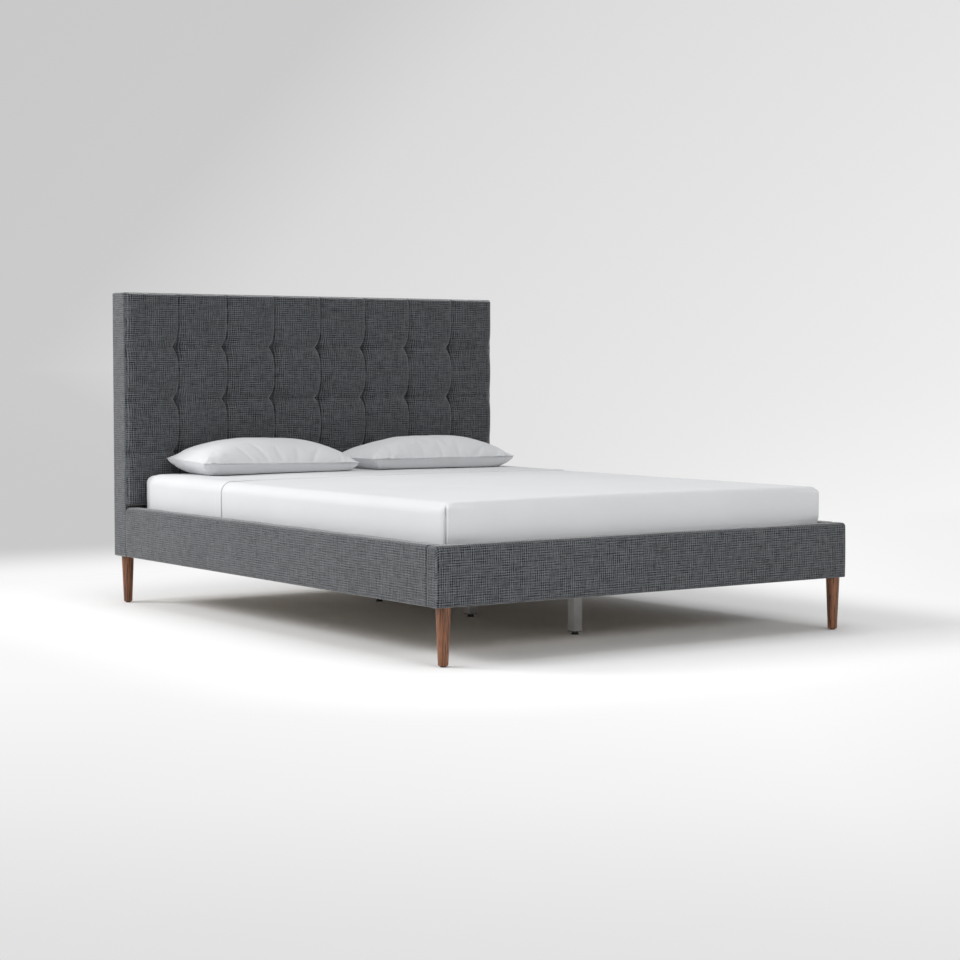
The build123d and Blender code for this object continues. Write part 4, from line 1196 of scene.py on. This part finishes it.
    def lower_of(self, first, second, sharpness):
        """The lower of two arches from 0 to 1, rounded off where they cross: a sum of inverse powers."""
        first, second = np.maximum(first, 1e-4), np.maximum(second, 1e-4)
        return (first**-sharpness + second**-sharpness - 1.0) ** (-1.0 / sharpness)


# Straps and rigid pieces


class BED_OT_straps(Operator):
    """Make the two straps that space the slats"""

    bl_idname = "bed.straps"
    bl_label = "Slat straps"

    WIDTH = 0.025

    def execute(self, context):
        thick = STRAP_HIGH.z - STRAP_LOW.z
        y = np.linspace(STRAP_LOW.y, STRAP_HIGH.y, 240)
        section = rounded_ring((0.0, 0.0), (self.WIDTH, thick * 0.9), (thick * 0.4,) * 4, 4, (9, 1))
        for start, name in ((STRAP_LOW.x, "left"), (STRAP_HIGH.x - self.WIDTH, "right")):
            rings = np.zeros((len(y), len(section), 3))
            rings[..., 0] = start + section[None, :, 0]
            rings[..., 1] = y[:, None]
            rings[..., 2] = STRAP_HIGH.z - thick + section[None, :, 1]
            piece = tube_piece(f"slat_strap_{name}", rings, y, round_length(section), [section, section])
            dress(piece, webbing(), "webbing", "frame", "slat_straps")
        return {"FINISHED"}


class BED_OT_rigid(Operator):
    """Finish the wooden, steel and plastic pieces of the frame"""

    bl_idname = "bed.rigid"
    bl_label = "Wood and fittings"

    # The axis that each board is sawn along
    GRAIN = {
        0: ("headboard_top_rail", "headboard_middle_rail", "headboard_bottom_rail", "headboard_panel",
            "headboard_apron", "foot_rail_board", "slats"),
        1: ("side_rail_board_left", "side_rail_board_right", "slat_ledger_left", "slat_ledger_right",
            "centre_beam"),
        2: ("headboard_post_left", "headboard_post_right"),
    }
    # Name, dark and light tone, roughness, grain and depth of the skin, and 1 for bare metal, by slot
    COATS = {
        "support_steel": ("support_paint", (0.50, 0.50, 0.50), (0.57, 0.57, 0.57), 0.42, 700.0, 0.0003),
        "fitting_steel": ("zinc_plate", (0.46, 0.47, 0.48), (0.60, 0.61, 0.62), 0.32, 900.0, 0.0002, 1.0),
        "insert_brass": ("brass", (0.58, 0.42, 0.18), (0.72, 0.55, 0.28), 0.35, 900.0, 0.0002, 1.0),
        "black_plastic": ("black_plastic", (0.012, 0.012, 0.013), (0.022, 0.022, 0.023), 0.5, 800.0, 0.0004),
    }

    def execute(self, context):
        colours = context.scene.bed_colours
        pine_grain = tuple(channel * 0.62 for channel in colours.pine)
        along = {node: axis for axis, nodes in self.GRAIN.items() for node in nodes}
        pines = [wood(f"pine_{name}", colours.pine, pine_grain, axis, 14.0, 0.6)
                 for axis, name in enumerate("xyz")]
        finishes = {slot: coated(*values) for slot, values in self.COATS.items()}
        finishes["leg_wood"] = wood("leg_wood", colours.leg_ground, colours.leg_grain, 2, 75.0, 0.38)
        finishes["webbing"] = webbing()
        for node, piece in NODES.items():
            slot = SLOT_OF[node]
            material = pines[along[node]] if slot == "frame_wood" else finishes.get(slot)
            if material is not None:
                piece.data.materials.clear()
                piece.data.materials.append(material)
        return {"FINISHED"}


class BED_PT_panel(Panel):
    """The bed's pieces and sizes in the sidebar"""

    bl_label = "Bed"
    bl_idname = "BED_PT_panel"
    bl_space_type = "VIEW_3D"
    bl_region_type = "UI"
    bl_category = "Bed"

    def draw(self, context):
        for group in (context.scene.bed_forms, context.scene.bed_colours, context.scene.bed_stage):
            box = self.layout.box()
            for name in group.__annotations__:
                box.prop(group, name)
        for operator in OPERATORS:
            self.layout.operator(operator.bl_idname)


OPERATORS = (BED_OT_stage, BED_OT_headboard_front, BED_OT_headboard_band, BED_OT_headboard_back, BED_OT_rails,
             BED_OT_mattress, BED_OT_pillows, BED_OT_straps, BED_OT_rigid)
GROUPS = {"bed_forms": BedForms, "bed_colours": BedColours, "bed_stage": BedStage}


def register():
    """Add the property groups, the operators and the panel to Blender."""
    for cls in (*GROUPS.values(), *OPERATORS, BED_PT_panel):
        bpy.utils.register_class(cls)
    for name, group in GROUPS.items():
        setattr(bpy.types.Scene, name, PointerProperty(type=group))


def unregister():
    """Take them out again."""
    for name in GROUPS:
        delattr(bpy.types.Scene, name)
    for cls in (BED_PT_panel, *reversed(OPERATORS), *reversed(GROUPS.values())):
        bpy.utils.unregister_class(cls)


def main():
    """Build every piece in order."""
    register()
    for operator in OPERATORS:
        getattr(bpy.ops.bed, operator.bl_idname.split(".")[1])()


if __name__ == "__main__":
    main()
